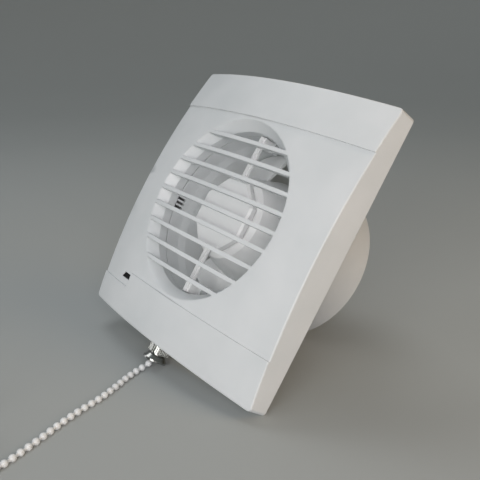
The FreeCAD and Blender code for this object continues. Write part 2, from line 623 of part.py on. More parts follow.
def screw(name, x, y, seat, length, forward):
    """A small screw along Z, its head resting on seat; forward is -1 where the head is at the back."""
    head = [("0", "0"), ("small_head", "0"), ("small_head", "head_height / 2"),
            ("small_head - head_height / 2", "head_height"),
            ("0", "head_height")]
    body = turned(name + "_head", head)
    shank = doc.addObject("Part::Cylinder", name + "_shank")
    bind(shank, Radius="small_screw", Height=length)
    shank.Placement = FreeCAD.Placement(Vector(0, 0, 0), FreeCAD.Rotation(Vector(1, 0, 0), 180))
    slot = box(name + "_slot", ("-small_head", "small_head"), ("-head_height / 5", "head_height / 5"),
               ("head_height / 2", "head_height + 1"))
    whole = cut(name, fuse(name + "_blank", body, shank), slot)
    whole.Placement.Rotation = FreeCAD.Rotation(Vector(1, 0, 0), 0 if forward > 0 else 180)
    return place(whole, x, y, seat)


def build_motor_carrier():
    """Eight-sided motor cap with the bearing post and two channel arms, and the screws of the arms."""
    cap = padded("cap_block", octagon("cap_flat / 2"), "cap_front - cap_depth", "cap_depth")
    front = number("cap_front") - 0.01
    block = cap.Tip
    bevel = cap.newObject("PartDesign::Chamfer", "cap_edge")
    bevel.Base = (block, edge_names(block.Shape, lambda edge: edge.BoundBox.ZMin > front))
    bind(bevel, Size="cap_bevel")
    hollow = padded("cap_hollow", octagon("cap_flat / 2 - cap_wall"), "cap_front - cap_depth - 1",
                    "cap_depth - cap_wall + 1")
    post = rod("cap_post", "post_radius", "-post_rear", "cap_front - cap_wall / 2")
    bore = rod("cap_bore", "bearing_radius", "-post_rear - 1", "cap_front - cap_wall")
    arms = []
    cuts = []
    screws = []
    for name, sign in (("top", 1), ("low", -1)):
        reach = "%d * (ring_radius - arm_gap)" % sign
        seat = "%d * (ring_radius - lug_reach)" % sign
        inner = sorted(("%d * (cap_flat / 2 + arm_gap)" % sign, reach), key=number)
        root = sorted(("%d * (cap_flat / 2 - cap_wall / 2)" % sign,
                       "%d * (cap_flat / 2 + cap_wall)" % sign), key=number)
        foot = sorted((seat, reach), key=number)
        open_run = sorted(("%d * (cap_flat / 2 - cap_wall - 1)" % sign, seat), key=number)
        through = sorted((seat, "%d * ring_radius" % sign), key=number)
        width = ("-arm_width / 2", "arm_width / 2")
        arms.append(box(name + "_arm", width, tuple(inner), ("arm_front - arm_depth", "arm_front")))
        arms.append(box(name + "_arm_root", width, tuple(root), ("cap_front - cap_depth", "arm_front")))
        arms.append(box(name + "_arm_foot", ("-foot_width / 2", "foot_width / 2"), tuple(foot),
                        ("lug_front", "arm_front")))
        channel = ("-channel_width / 2", "channel_width / 2")
        cuts.append(box(name + "_channel", channel, tuple(open_run),
                        ("arm_front - arm_depth - 1", CHANNEL_FLOOR)))
        cuts.append(box(name + "_tunnel", channel, tuple(through),
                        (CHANNEL_FLOOR + " - lead_tunnel", CHANNEL_FLOOR)))
        cuts.append(box(name + "_ledge", ("arm_width / 2 - ledge_width", "arm_width"), tuple(inner),
                        ("arm_front - ledge_depth", "arm_front + 1")))
        middle = "%d * (ring_radius - lug_reach / 2)" % sign
        cuts.append(rod(name + "_pilot", "small_screw + thread_gap", "lug_front - 1",
                        "lug_front + screw_bite", y=middle))
        screws.append(screw(name + "_arm_screw", "0", middle, "lug_front - lug_thick",
                            "lug_thick + screw_bite - fit_gap", -1))
    stock = fuse("carrier_stock", cut("cap_dish", cap, hollow), post, *arms)
    piece(cut("motor_carrier", stock, bore, *cuts))
    group("carrier_screws", *screws)


def blade_section(body, name, level, half, front, back, curve):
    """A curved blade section in a plane across X: front edge on the left, back edge on the right."""
    sketch = new_sketch(body, name, "YZ_Plane", level)
    ends = []
    for depth in ("0", "blade_thick"):
        ends.append(((half, "%s - %s" % (back, depth)), ("-" + half, "%s - %s" % (front, depth))))
    for (right, left) in ends:
        start = Vector(number(right[0]), number(right[1]), 0)
        end = Vector(number(left[0]), number(left[1]), 0)
        radius = number(curve)
        chord = end - start
        sag = radius - math.sqrt(radius ** 2 - chord.Length ** 2 / 4)
        middle = (start + end) / 2 + Vector(chord.y, -chord.x, 0).normalize() * sag
        sketch.addGeometry(Part.Arc(start, middle, end), False)
    corner = [[Vector(number(x), number(y), 0) for x, y in pair] for pair in ends]
    sketch.addGeometry(Part.LineSegment(corner[0][1], corner[1][1]), False)
    sketch.addGeometry(Part.LineSegment(corner[1][0], corner[0][0]), False)
    for first, end, second, start in ((0, 2, 2, 1), (2, 2, 1, 2), (1, 1, 3, 1), (3, 2, 0, 1)):
        sketch.addConstraint(Sketcher.Constraint("Coincident", first, end, second, start))
    for arc, (right, left) in enumerate(ends):
        pin_point(sketch, arc, 1, *right)
        pin_point(sketch, arc, 2, *left)
        hold_radius(sketch, arc, curve)
    return sketch


def build_impeller():
    """Impeller: motor cup on the shaft with its boss, hollow cone-shaped skirt, and wide curved blades."""
    body = turned("impeller_blank", [
        ("0", "-hub_rear"), ("hub_radius", "-hub_rear"), ("hub_radius", "hub_front - hub_wall"),
        ("skirt_front - hub_wall", "hub_front - hub_wall"),
        ("skirt_front + skirt_flare - hub_wall", "-skirt_rear"),
        ("skirt_front + skirt_flare", "-skirt_rear"),
        ("skirt_front + skirt_flare * skirt_bevel / (hub_front + skirt_rear)", "hub_front - skirt_bevel"),
        ("skirt_front - skirt_bevel", "hub_front"), ("0", "hub_front")])
    doc.recompute()
    level = "sqrt(%s^2 - root_half^2) - hub_wall / 2" % ROOT_RADIUS
    root = blade_section(body, "blade_root", level, "root_half", "-root_front", "-root_back", "root_curve")
    tip = blade_section(body, "blade_tip", "tip_radius + 1", "tip_half", "-tip_front", "-tip_back",
                        "tip_curve")
    blade = body.newObject("PartDesign::AdditiveLoft", "blade")
    blade.Profile = root
    blade.Sections = [tip]
    doc.recompute()
    ring = body.newObject("PartDesign::PolarPattern", "blades")
    ring.Originals = [blade]
    ring.Axis = (origin(body, "Z_Axis"), [""])
    ring.Angle = 360
    bind(ring, Occurrences="blade_count")
    body.Tip = ring
    doc.recompute()
    cup = outline(body, "hub_cup", "XZ_Plane", [
        ("0", "-hub_rear - 1"), ("shaft_radius", "-hub_rear - 1"),
        ("shaft_radius", "-hub_rear + boss_length"),
        ("boss_radius", "-hub_rear + boss_length"), ("boss_radius", "-hub_rear + hub_wall"),
        ("hub_radius - hub_wall", "-hub_rear + hub_wall"), ("hub_radius - hub_wall", "hub_front + 1"),
        ("0", "hub_front + 1")])
    groove = body.newObject("PartDesign::Groove", "hub_hollow")
    groove.Profile = cup
    groove.ReferenceAxis = (cup, ["V_Axis"])
    groove.Angle = 360
    doc.recompute()
    body.Placement.Rotation = FreeCAD.Rotation(Vector(0, 0, 1), number("blade_turn"))
    reach = rod("impeller_reach", "tip_radius", "-spigot_length", "throat_depth")
    piece(common("impeller", body, reach))


def build_motor():
    """Motor inside the hub: board, bearing, stator and windings stand still, shaft and magnet ring turn."""
    board_front = "(cap_front - cap_wall - board_gap)"
    piece(tube("circuit_board", "post_radius + board_gap", "board_radius", board_front + " - board_thick",
               board_front))
    bearing_front = "(bearing_length - post_rear + fit_gap)"
    piece(tube("sleeve_bearing", "shaft_radius + run_gap", "bearing_radius",
               bearing_front + " - bearing_length", bearing_front))
    washer_back = "(-hub_rear + boss_length + fit_gap)"
    piece(tube("thrust_washer", "shaft_radius + fit_gap", "boss_radius", washer_back,
               "-post_rear - fit_gap"))
    clip_back = "(%s + fit_gap)" % bearing_front
    piece(turned("rotor_shaft", [
        ("0", "-hub_rear"), ("shaft_radius", "-hub_rear"), ("shaft_radius", clip_back),
        ("shaft_radius - groove_deep", clip_back),
        ("shaft_radius - groove_deep", clip_back + " + clip_thick"),
        ("shaft_radius", clip_back + " + clip_thick"), ("shaft_radius", "shaft_front"),
        ("0", "shaft_front")]))
    clip = tube("clip_ring", "shaft_radius - groove_deep", "clip_radius", clip_back,
                clip_back + " + clip_thick")
    mouth = box("clip_mouth", ("0", "clip_radius + 1"), ("-shaft_radius / 2", "shaft_radius / 2"),
                (clip_back + " - 1", clip_back + " + clip_thick + 1"))
    piece(cut("shaft_clip", clip, mouth))
    yoke_outer = "(hub_radius - hub_wall)"
    magnet_outer = "(%s - yoke_wall)" % yoke_outer
    magnet_inner = "(%s - magnet_wall)" % magnet_outer
    yoke_back = "(-hub_rear + hub_wall)"
    piece(tube("rotor_yoke", magnet_outer, yoke_outer, yoke_back, yoke_back + " + yoke_length"))
    magnet_back = "(%s + (yoke_length - magnet_length) / 2)" % yoke_back
    piece(tube("rotor_magnet", magnet_inner, magnet_outer, magnet_back, magnet_back + " + magnet_length"))
    stator_outer = "(%s - air_gap)" % magnet_inner
    low, high = "-stack_rear", "(stack_length - stack_rear)"
    shoes = tube("stator_shoes", stator_outer + " - shoe_thick", stator_outer, low, high)
    ring = tube("stator_hub", "post_radius + thread_gap", "post_radius + stator_ring", low, high)
    slots = []
    poles = []
    coils = []
    for i in range(4):
        turn = FreeCAD.Rotation(Vector(0, 0, 1), 90 * i)
        pole = box("pole_%d" % (i + 1),
                   ("post_radius + stator_ring / 2", stator_outer + " - shoe_thick / 2"),
                   ("-pole_width / 2", "pole_width / 2"), (low, high))
        slot = box("shoe_slot_%d" % (i + 1), (stator_outer + " - shoe_thick - 1", stator_outer + " + 1"),
                   ("-shoe_slot / 2", "shoe_slot / 2"), (low + " - 1", high + " + 1"))
        inner = "pole_width / 2 + coil_gap"
        outer = "pole_width / 2 + coil_gap + coil_wall"
        corner = "sqrt((%s - shoe_thick - coil_gap)^2 - (%s)^2)" % (stator_outer, outer)
        run = ("post_radius + stator_ring + coil_gap", corner)
        wound = box("winding_%d" % (i + 1), run, ("-(%s)" % outer, outer),
                    ("%s - coil_gap - coil_wall" % low, "%s + coil_gap + coil_wall" % high))
        core = box("winding_core_%d" % (i + 1), (run[0] + " - 1", run[1] + " + 1"),
                   ("-(%s)" % inner, inner),
                   (low + " - coil_gap", high + " + coil_gap"))
        poles.append(turned_copy("pole_at_%d" % (i + 1), pole, turn))
        slots.append(turned_copy("slot_at_%d" % (i + 1), slot,
                                 FreeCAD.Rotation(Vector(0, 0, 1), 90 * i + 45)))
        coils.append(turned_copy("winding_at_%d" % (i + 1), cut("coil_%d" % (i + 1), wound, core), turn))
    piece(fuse("stator_core", ring, cut("stator_faces", shoes, *slots), *poles))
    group("stator_coils", *coils)


def turned_copy(name, thing, rotation):
    """The same object turned about the fan axis."""
    holder = doc.addObject("Part::Compound", name)
    holder.Links = [thing]
    holder.Placement = FreeCAD.Placement(Vector(0, 0, 0), rotation)
    return holder


def build_connection():
    """Terminal block with its screws, cable inlet and cable clamp."""
    top = "(base_thick + block_height)"
    stock = box("block_stock", ("block_left", "block_left + block_length"),
                ("block_low", "block_low + block_width"),
                ("base_thick", top))
    middle = "block_low + block_width / 2"
    wells = []
    ports = []
    screws = []
    for i in range(3):
        x = "block_left + block_length / 2 + (%d - 1) * terminal_pitch" % i
        wells.append(rod("screw_well_%d" % (i + 1), "small_head + fit_gap", "base_thick + block_height / 2",
                         top + " + 1", x, middle))
        seat = "base_thick + block_height / 2"
        wells.append(rod("screw_thread_%d" % (i + 1), "small_screw + thread_gap", "base_thick + port_floor",
                         seat, x, middle))
        depth = "block_height / 2 - port_floor - 2 * small_screw"
        screws.append(screw("terminal_screw_%d" % (i + 1), x, middle, seat, depth, 1))
        ports.append(box("wire_port_%d" % (i + 1), (x + " - small_screw", x + " + small_screw"),
                         ("block_low - 1", "block_low + block_width + 1"),
                         ("base_thick + port_floor", "base_thick + port_floor + 2 * small_screw")))
    piece(cut("terminal_block", stock, *wells, *ports))
    group("terminal_screws", *screws)
    inlet_ring = turned("grommet_ring", [
        ("grommet_bore", "0"), ("grommet_neck", "0"), ("grommet_neck", "base_thick"),
        ("grommet_flange", "base_thick"),
        ("grommet_flange", "base_thick + grommet_rise"), ("grommet_bore", "base_thick + grommet_rise")])
    place(inlet_ring, "grommet_x", "grommet_y")
    group("cable_grommet", inlet_ring)
    left, right = "(grommet_x - grommet_flange - clamp_foot)", "(grommet_x + grommet_flange + clamp_foot)"
    low = "(block_low + block_width + fit_gap)"
    span = (low, low + " + clamp_width")
    arch = box("clamp_arch", (left, right), span, ("base_thick", "base_thick + clamp_rise + clamp_thick"))
    inside = box("clamp_inside", (left + " + clamp_foot", right + " - clamp_foot"),
                 (low + " - 1", low + " + clamp_width + 1"),
                 ("base_thick - 1", "base_thick + clamp_rise"))
    over = "base_thick + clamp_thick"
    ends = [box("clamp_left_end", (left + " - 1", left + " + clamp_foot - clamp_thick"),
                (low + " - 1", low + " + clamp_width + 1"),
                (over, over + " + 2 * clamp_rise")),
            box("clamp_right_end", (right + " - clamp_foot + clamp_thick", right + " + 1"),
                (low + " - 1", low + " + clamp_width + 1"),
                (over, over + " + 2 * clamp_rise"))]
    holes = []
    screws = []
    for name, x in (("left", left + " + (clamp_foot - clamp_thick) / 2"),
                    ("right", right + " - (clamp_foot - clamp_thick) / 2")):
        holes.append(rod("clamp_%s_hole" % name, "small_screw + thread_gap", "base_thick - 1",
                         over + " + 1", x, low + " + clamp_width / 2"))
        screws.append(screw("clamp_%s_screw" % name, x, low + " + clamp_width / 2", over, "clamp_thick", 1))
    piece(cut("cable_clamp", arch, inside, *ends, *holes))
    group("clamp_screws", *screws)


def build_switch():
    """Pull switch: body and lid, barrel with nut and bell, plunger, spring, ratchet cam and contacts."""
    flange_top = "(%s + flange_thick)" % WALL_INSIDE
    bell_end = "(-plate / 2 - bell_reach)"
    bore = "plunger_radius + plunger_gap"
    barrel = [(bore, bell_end + " + bell_length / 2"), ("barrel_radius", bell_end + " + bell_length / 2")]
    for i in range(5):
        crest = "%s + bell_length + (%d + 0.5) * thread_pitch" % (bell_end, i)
        if number(crest) < number("-plate / 2 - nut_height - thread_pitch / 2"):
            barrel += [("barrel_radius", crest + " - thread_pitch / 4"),
                       ("barrel_radius - thread_deep", crest),
                       ("barrel_radius", crest + " + thread_pitch / 4")]
    top = "(%s + barrel_top)" % WALL_INSIDE
    barrel += [("barrel_radius", WALL_INSIDE), ("barrel_flange", WALL_INSIDE),
               ("barrel_flange", flange_top),
               ("barrel_radius", flange_top), ("barrel_radius", top), (bore, top)]
    group("switch_barrel", on_pull_axis(turned("barrel_turning", barrel, "XY_Plane")))
    nut = tube("nut_blank", "barrel_radius + thread_gap", "nut_radius", "-plate / 2 - nut_height",
               "-plate / 2", "XY_Plane")
    grooves = []
    for i in range(int(number("knurl_count"))):
        groove = doc.addObject("Part::Cylinder", "knurl_%d" % (i + 1))
        bind(groove, Radius="knurl_deep", Height="nut_height + 2")
        angle = "%d * 360 / knurl_count" % i
        groove.Placement.Rotation = FreeCAD.Rotation(Vector(1, 0, 0), 90)
        grooves.append(place(groove, "nut_radius * cos(%s)" % angle, "1 - plate / 2",
                             "nut_radius * sin(%s)" % angle))
    group("knurled_nut", on_pull_axis(cut("nut_knurled", nut, *grooves)))
    bell = turned("bell_turning", [
        ("barrel_radius + thread_gap", bell_end + " + bell_length"),
        ("barrel_radius + thread_gap", bell_end + " + bell_length / 2"),
        (bore, bell_end + " + bell_length / 2"), ("bell_mouth", bell_end),
        ("bell_radius", bell_end), ("bell_radius", bell_end + " + bell_length / 4"),
        ("bell_neck", bell_end + " + bell_length")],
        "XY_Plane")
    group("chain_bell", on_pull_axis(bell))
    head_low = "(%s + spring_wire * 2 * (spring_turns + 1) + 2 * spring_space + plunger_travel)" % top
    plunger = turned("plunger_turning", [
        ("0", "-plunger_end"), ("plunger_radius", "-plunger_end"), ("plunger_radius", head_low),
        ("plunger_head", head_low),
        ("plunger_head", head_low + " + head_thick"), ("0", head_low + " + head_thick")], "XY_Plane")
    group("switch_plunger", on_pull_axis(plunger))
    case_top = "(%s + case_height)" % flange_top
    case_back = "(pull_depth - case_depth / 2)"
    case_front = "(pull_depth + case_depth / 2)"
    stock = box("case_stock", ("-case_half", "case_half"), (flange_top, case_top), (case_back, case_front))
    hollow = box("case_hollow", ("-case_half + case_wall", "case_half - case_wall"),
                 (flange_top + " + case_wall", case_top + " - case_wall"),
                 (case_back + " + case_wall", case_front + " + 1"))
    passage = on_pull_axis(turned("case_passage", [
        ("0", flange_top + " - 1"), ("barrel_radius + thread_gap", flange_top + " - 1"),
        ("barrel_radius + thread_gap", flange_top + " + case_wall + 1"),
        ("0", flange_top + " + case_wall + 1")], "XY_Plane"))
    piece(cut("switch_body", stock, hollow, passage))
    group("switch_lid",
          box("lid_plate", ("-case_half", "case_half"), (flange_top, case_top),
              (case_front, case_front + " + lid_thick")))
    cam_y = "(%s - cam_radius / 2)" % head_low
    cam_back = "(pull_depth - cam_thick / 2)"
    pin_back = case_back + " + case_wall"
    group("cam_pin", rod("pin_rod", "pin_radius", pin_back, case_front, "cam_offset", cam_y))
    wheel = rod("cam_wheel", "cam_radius", cam_back, cam_back + " + cam_thick", "cam_offset", cam_y)
    cam_cuts = [rod("cam_bore", "pin_radius + plunger_gap", cam_back + " - 1",
                    cam_back + " + cam_thick + 1", "cam_offset", cam_y)]
    for i in range(int(number("cam_teeth"))):
        angle = "(%d * 360 / cam_teeth)" % i
        cam_cuts.append(rod("cam_gap_%d" % (i + 1), "cam_radius / 5", cam_back + " - 1",
                            cam_back + " + cam_thick + 1",
                            "cam_offset + cam_radius * cos(%s)" % angle,
                            "%s + cam_radius * sin(%s)" % (cam_y, angle)))
    piece(cut("switch_cam", wheel, *cam_cuts))
    strips = []
    for i, y in enumerate((flange_top + " + case_wall + contact_width",
                           case_top + " - case_wall - 2 * contact_width"), 1):
        strips.append(box("contact_%d" % i,
                          ("-case_half + case_wall", "-case_half + case_wall + contact_thick"),
                          (y, y + " + contact_width"), (case_back + " + case_wall", case_front)))
    group("switch_contacts", *strips)
    turns = int(number("spring_turns"))
    low = number(top + " + spring_space + spring_wire")
    high = number(head_low + " - spring_space - spring_wire")
    radius = number("(plunger_radius + plunger_head) / 2")
    depth = number("pull_depth")
    points = []
    for i in range(4 * turns + 1):
        angle = math.pi / 2 * i
        points.append(Vector(radius * math.cos(angle), low + (high - low) * i / (4 * turns),
                             depth + radius * math.sin(angle)))
    rise = (high - low) / (2 * math.pi * turns)
    headings = []
    for i in range(4 * turns + 1):
        angle = math.pi / 2 * i
        headings.append(Vector(-radius * math.sin(angle), rise, radius * math.cos(angle)).normalize())
    spring = doc.addObject("Part::Feature", "return_spring")
    spring.Shape = swept(biarcs(points, headings), number("spring_wire"))
    piece(spring)


def on_pull_axis(thing):
    """Moves a piece that is turned about Y to the pull switch's axis."""
    return place(thing, z="pull_depth")


def arc_between(start, corner, end):
    """The arc that is tangent to start-corner at start and to corner-end at end."""
    middle = (start + end) / 2
    half = (end - start).Length / 2
    height = (corner - middle).Length
    if height < 1e-7 * half:
        return Part.LineSegment(start, end).toShape()
    bend = math.atan2(height, half)
    crown = middle + (corner - middle) / height * half * math.tan(bend / 2)
    return Part.Arc(start, crown, end).toShape()


def biarcs(points, headings):
    """Edges of a smooth curve through points with the given headings: two arcs from point to point."""
    edges = []
    for start, end, leave, arrive in zip(points, points[1:], headings, headings[1:]):
        across = end - start
        both = leave + arrive
        bend = 2 * (1 - leave.dot(arrive))
        along = across.dot(both)
        reach = (math.sqrt(along ** 2 + bend * across.dot(across)) - along) / bend
        first = start + leave * reach
        last = end - arrive * reach
        middle = (first + last) / 2
        edges.append(arc_between(start, first, middle))
        edges.append(arc_between(middle, last, end))
    return edges


def swept(edges, radius):
    """A round tube along a chain of edges; its volume has to be its section times its length."""
    path = Part.Wire(edges)
    first = edges[0]
    start = first.valueAt(first.FirstParameter)
    section = Part.Wire([Part.makeCircle(radius, start, first.tangentAt(first.FirstParameter))])
    solid = path.makePipeShell([section], True, False)
    expected = math.pi * radius ** 2 * path.Length
    if abs(solid.Volume - expected) > 0.02 * expected:
        raise ValueError("a swept tube has the wrong volume: %.1f, not %.1f" % (solid.Volume, expected))
    return solid


def rounded_route(points):
    """Straight runs joined by tangent arcs, each as large as its two runs allow. Prints the radii."""
    edges = []
    radii = []
    start = points[0]
    for before, corner, after in zip(points, points[1:], points[2:]):
        back = (before - corner)
        ahead = (after - corner)
        reach = 0.45 * min(back.Length, ahead.Length)
        turn = math.pi - back.getAngle(ahead)
        radii.append(reach / math.tan(turn / 2))
        enter = corner + back / back.Length * reach
        leave = corner + ahead / ahead.Length * reach
        edges.append(Part.LineSegment(start, enter).toShape())
        edges.append(arc_between(enter, corner, leave))
        start = leave
    edges.append(Part.LineSegment(start, points[-1]).toShape())
    print("route radii", [round(radius, 1) for radius in radii], "length",
          round(sum(e.Length for e in edges), 1))
    return edges


def lead_run(name, points, radius):
    lead = doc.addObject("Part::Feature", name)
    lead.Shape = swept(rounded_route([Vector(*[number(text) for text in point]) for point in points]),
                       radius)
    return lead


def build_leads():
    """Inner leads: motor to terminals along the top arm, and switch to terminals round the inlet ring."""
    wire = number("wire_radius")
    motor = []
    switch = []
    channel = CHANNEL_FLOOR + " - wire_radius - fit_gap"
    port = "base_thick + port_floor + small_screw"
    floor = "base_thick + wire_radius + fit_gap"
    outside = "ring_radius + ring_wall"
    for i, side in enumerate((-1, 1)):
        x = "%d * (wire_radius + fit_gap / 2)" % side
        end = "block_left + block_length / 2 + (%d - 1) * terminal_pitch - wire_radius - fit_gap" % i
        spread = "%d * lead_spread" % (1 - i)
        motor.append(lead_run("motor_lead_%d" % (i + 1), [
            (x, "board_radius - lead_inset", channel), (x, outside + " + 1", channel),
            ("%s + 6" % x, outside + " + 4 + " + spread, port + " + 1"),
            (end + " - 7", outside + " - 1 + " + spread, port), (end, "block_low - 4", port),
            (end, "block_low + wire_radius", port)], wire))
        turn = "%s + 6 + %d * lead_spread" % (outside, i)
        start = "%s + flange_thick + case_height / 2 - %d * lead_spread" % (WALL_INSIDE, i)
        last = "block_left + block_length / 2 + %d * terminal_pitch + wire_radius + fit_gap" % i
        exit_level = "pull_depth - case_depth / 2 + case_wall + wire_radius"
        switch.append(lead_run("switch_lead_%d" % (i + 1), [
            ("case_half", start, exit_level), ("case_half + 9", start, exit_level),
            (turn + " - 20", "12 - (%s)" % turn, floor), (turn, "-26", floor), (turn + " + 1", "6", floor),
            (turn, "30", floor), (last + " + 5", "block_low - 9", floor), (last, "block_low - 4", port),
            (last, "block_low + wire_radius", port)], wire))
    group("motor_leads", *motor)
    group("switch_leads", *switch)


def lowest(centre, axis, radius, up):
    """Lowest point of a circle under the direction up."""
    slope = up - axis * up.dot(axis)
    return centre - slope.normalize() * radius


def standing():
    """The turn that stands the fan on its bell, its lower right corner and the spigot's rim."""
    inset = number("plate / 2 - plate_corner")
    circles = (
        (Vector(inset, -inset, 0), Vector(0, 0, 1), number("plate_corner")),
        (Vector(0, 0, -number("spigot_length")), Vector(0, 0, 1), number("spigot_radius")),
        (Vector(0, -number("plate / 2 + bell_reach"), number("pull_depth")), BENCH_UP,
         number("bell_radius")))
    up = Vector(0, 1, 0.5).normalize()
    for step in range(80):
        corner, rim, bell = [lowest(centre, axis, radius, up) for centre, axis, radius in circles]
        up = (rim - corner).cross(bell - corner).normalize()
        if up.y < 0:
            up = up.negative()
    right = (Vector(1, 0, 0) - up * up.x).normalize()
    back = up.cross(right)
    turn = FreeCAD.Matrix(right.x, right.y, right.z, 0, back.x, back.y, back.z, 0, up.x, up.y, up.z, 0, 0,
                          0, 0, 1)
    print("lean %.2f" % math.degrees(math.atan2(up.z, up.y)), "roll %.2f" % math.degrees(math.asin(up.x)))
    rotation = FreeCAD.Placement(turn)
    return FreeCAD.Placement(rotation.multVec(corner).negative(), rotation.Rotation)


def stand_pieces():
    """Stands all pieces, with the middle of their common footprint at the origin."""
    stand = standing()
    whole = FreeCAD.BoundBox()
    for thing in PIECES:
        thing.Placement = stand
        whole.add(thing.Shape.optimalBoundingBox(True, False))
    stand.Base = stand.Base - Vector(whole.Center.x, whole.Center.y, 0)
    print("stand", list(stand.Base), list(stand.Rotation.Q))
    for thing in PIECES:
        thing.Placement = stand
    doc.recompute()
    return stand


def build_chain(stand):
    """Ball chain: from the plunger over the table, then put away in a tied coil that ends in the knob."""
    radius = number("bead / 2")
    depth = number("pull_depth")
    end = number("-plate / 2 - bell_reach")
    inside = stand.multVec(Vector(0, -number("plunger_end"), depth))
    mouth = stand.multVec(Vector(0, end, depth))
    under = Vector(mouth.x, mouth.y, 0)
    coil_height = number(COIL_HEIGHT)
    table = [under + Vector(x, y, radius) for x, y in CHAIN_ON_TABLE]
    heading = Vector(math.cos(CHAIN_HEADING), math.sin(CHAIN_HEADING), 0)
    entry = under + Vector(COIL_ENTRY[0], COIL_ENTRY[1], coil_height)
    bead = number("bead")
    start = entry - heading * bead
    route = [inside, mouth, *table, start - heading * 12, start]
    stretch = doc.addObject("Part::Feature", "pull_chain")
    stretch.Shape = swept(rounded_route(route), radius)
    outer = number("coil_outer")
    pitch = number("coil_pitch")
    turns = number("coil_turns")
    centre = entry + Vector(heading.y, -heading.x, 0) * outer
    first = math.atan2(entry.y - centre.y, entry.x - centre.x)
    quarter = math.pi / 2
    count = int(round(4 * turns))

    def at(turned_by):
        """Point of the coil: in to mid length at a steady rate, up one layer there, and out again."""
        part = turned_by / (2 * math.pi)
        from_middle = part - turns / 2
        reach = outer - pitch * (turns / 2 - abs(from_middle))
        climb = min(max(from_middle * 2 + 0.5, 0.0), 1.0)
        lift = coil_height + number("layer_rise") * (3 * climb ** 2 - 2 * climb ** 3)
        angle = first - turned_by
        return Vector(centre.x + reach * math.cos(angle), centre.y + reach * math.sin(angle), lift)

    points = [at(quarter * i) for i in range(count + 1)]
    step = 1e-3
    headings = [(at(quarter * i + step) - at(quarter * i - step)).normalize() for i in range(count + 1)]
    headings[0] = heading
    headings[-1] = Vector(headings[-1].x, headings[-1].y, 0).normalize()
    leave = points[-1] + headings[-1] * bead
    turns_edges = biarcs(points, headings)
    edges = [Part.LineSegment(start, points[0]).toShape(), *turns_edges,
             Part.LineSegment(points[-1], leave).toShape()]
    coil = doc.addObject("Part::Feature", "chain_coil")
    coil.Shape = swept(edges, radius)
    print("coil length %.1f" % Part.Wire(edges).Length,
          "least gap %.2f" % (least_distance(edges, 4 * bead) - bead))
    print("coil centre", [round(v, 2) for v in centre - under], "start angle %.2f" % math.degrees(first))
    tail = doc.addObject("Part::Feature", "chain_tail")
    tail_end = leave + headings[-1] * number("tail")
    tail.Shape = swept([Part.LineSegment(leave, tail_end).toShape()], radius)
    CORD.extend((stretch, coil, tail))
    build_tie(centre, first - quarter)
    build_knob(tail_end, headings[-1])


def least_distance(edges, apart):
    """Least distance between points of a path that lie more than apart along it."""
    spots = []
    run = 0.0
    for edge in edges:
        pieces = max(2, int(edge.Length / 1.5))
        for i in range(pieces):
            share = i / pieces
            at = edge.FirstParameter + (edge.LastParameter - edge.FirstParameter) * share
            spots.append((run + edge.Length * share, edge.valueAt(at)))
        run += edge.Length
    least = 1e9
    for i, (here, point) in enumerate(spots):
        for there, other in spots[i + 1:]:
            if there - here > apart:
                least = min(least, (point - other).Length)
    return least


def build_tie(centre, angle):
    """Flat band round all turns of the coil, a quarter turn from where the chain comes in."""
    gap = number("tie_gap")
    thick = number("tie_thick")
    radius = number("bead / 2")
    inner = number("coil_outer - coil_pitch * coil_turns / 2") - radius - gap
    outer = number("coil_outer - coil_pitch / 4") + radius + gap
    high = number(COIL_HEIGHT + " + layer_rise") + radius + gap
    width = number("tie_width")

    def rounded_bar(grow, reach):
        size = (outer - inner + 2 * grow, reach, high - thick + 2 * grow)
        bar = Part.makeBox(*size, Vector(inner - grow, -reach / 2, thick - grow))
        return bar.makeFillet(radius + grow, [edge for edge in bar.Edges if abs(edge.tangentAt(0).y) > 0.9])

    tie = doc.addObject("Part::Feature", "coil_tie")
    tie.Shape = rounded_bar(thick, width).cut(rounded_bar(0, 2 * width))
    turn = FreeCAD.Rotation(Vector(0, 0, 1), math.degrees(angle))
    tie.Placement = FreeCAD.Placement(Vector(centre.x, centre.y, 0), turn)
    CORD.append(tie)


def build_knob(chain_end, heading):
    """Pull knob lying on the table at the end of the chain, turned about its length."""
    profile = [("0", "knob_bore"), ("bead / 2 + fit_gap", "knob_bore"), ("bead / 2 + fit_gap", "0"),
               ("knob_neck", "0")]
    for share, along in ((0.5, 0.17), (0.76, 0.33), (0.94, 0.5), (1.0, 0.66), (0.95, 0.82), (0.74, 0.95),
                         (0.4, 1.0)):
        profile.append(("%s * %s" % (share, KNOB_RADIUS), "%s * knob_length" % along))
    whole = doc.addObject("Part::Compound", "pull_knob")
    whole.Links = [turned("knob_turning", profile + [("0", "knob_length")])]
    doc.recompute()
    start = chain_end - heading * number("knob_bore")
    whole.Placement = FreeCAD.Placement(start, FreeCAD.Rotation(Vector(0, 0, 1), heading))
    CORD.append(whole)


def write_steps():
    """Checks every object and writes one file for each piece."""
    doc.recompute()
    for thing in doc.Objects:
        if "Invalid" in thing.State or "Error" in thing.State:
            raise ValueError("%s failed: %s" % (thing.Label, thing.State))
    os.makedirs("parts", exist_ok=True)
    for thing in PIECES + CORD:
        if thing.Shape.isNull() or not thing.Shape.isValid() or not thing.Shape.Solids:
            raise ValueError("%s has no valid solid" % thing.Label)
        thing.Shape.exportStep("parts/%s.step" % thing.Label)
    print(len(PIECES + CORD), "pieces")


build_cover()
build_indicator()
build_casing()
build_motor_carrier()
build_impeller()
build_motor()
build_connection()
build_switch()
build_leads()
doc.recompute()
build_chain(stand_pieces())
write_steps()
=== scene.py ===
"""Looks of a wall ventilation fan: finishes of its solids, the ball chain, its knob and tie, and a stage."""
import collections
import json
import math
import bpy
from mathutils import Matrix, Vector


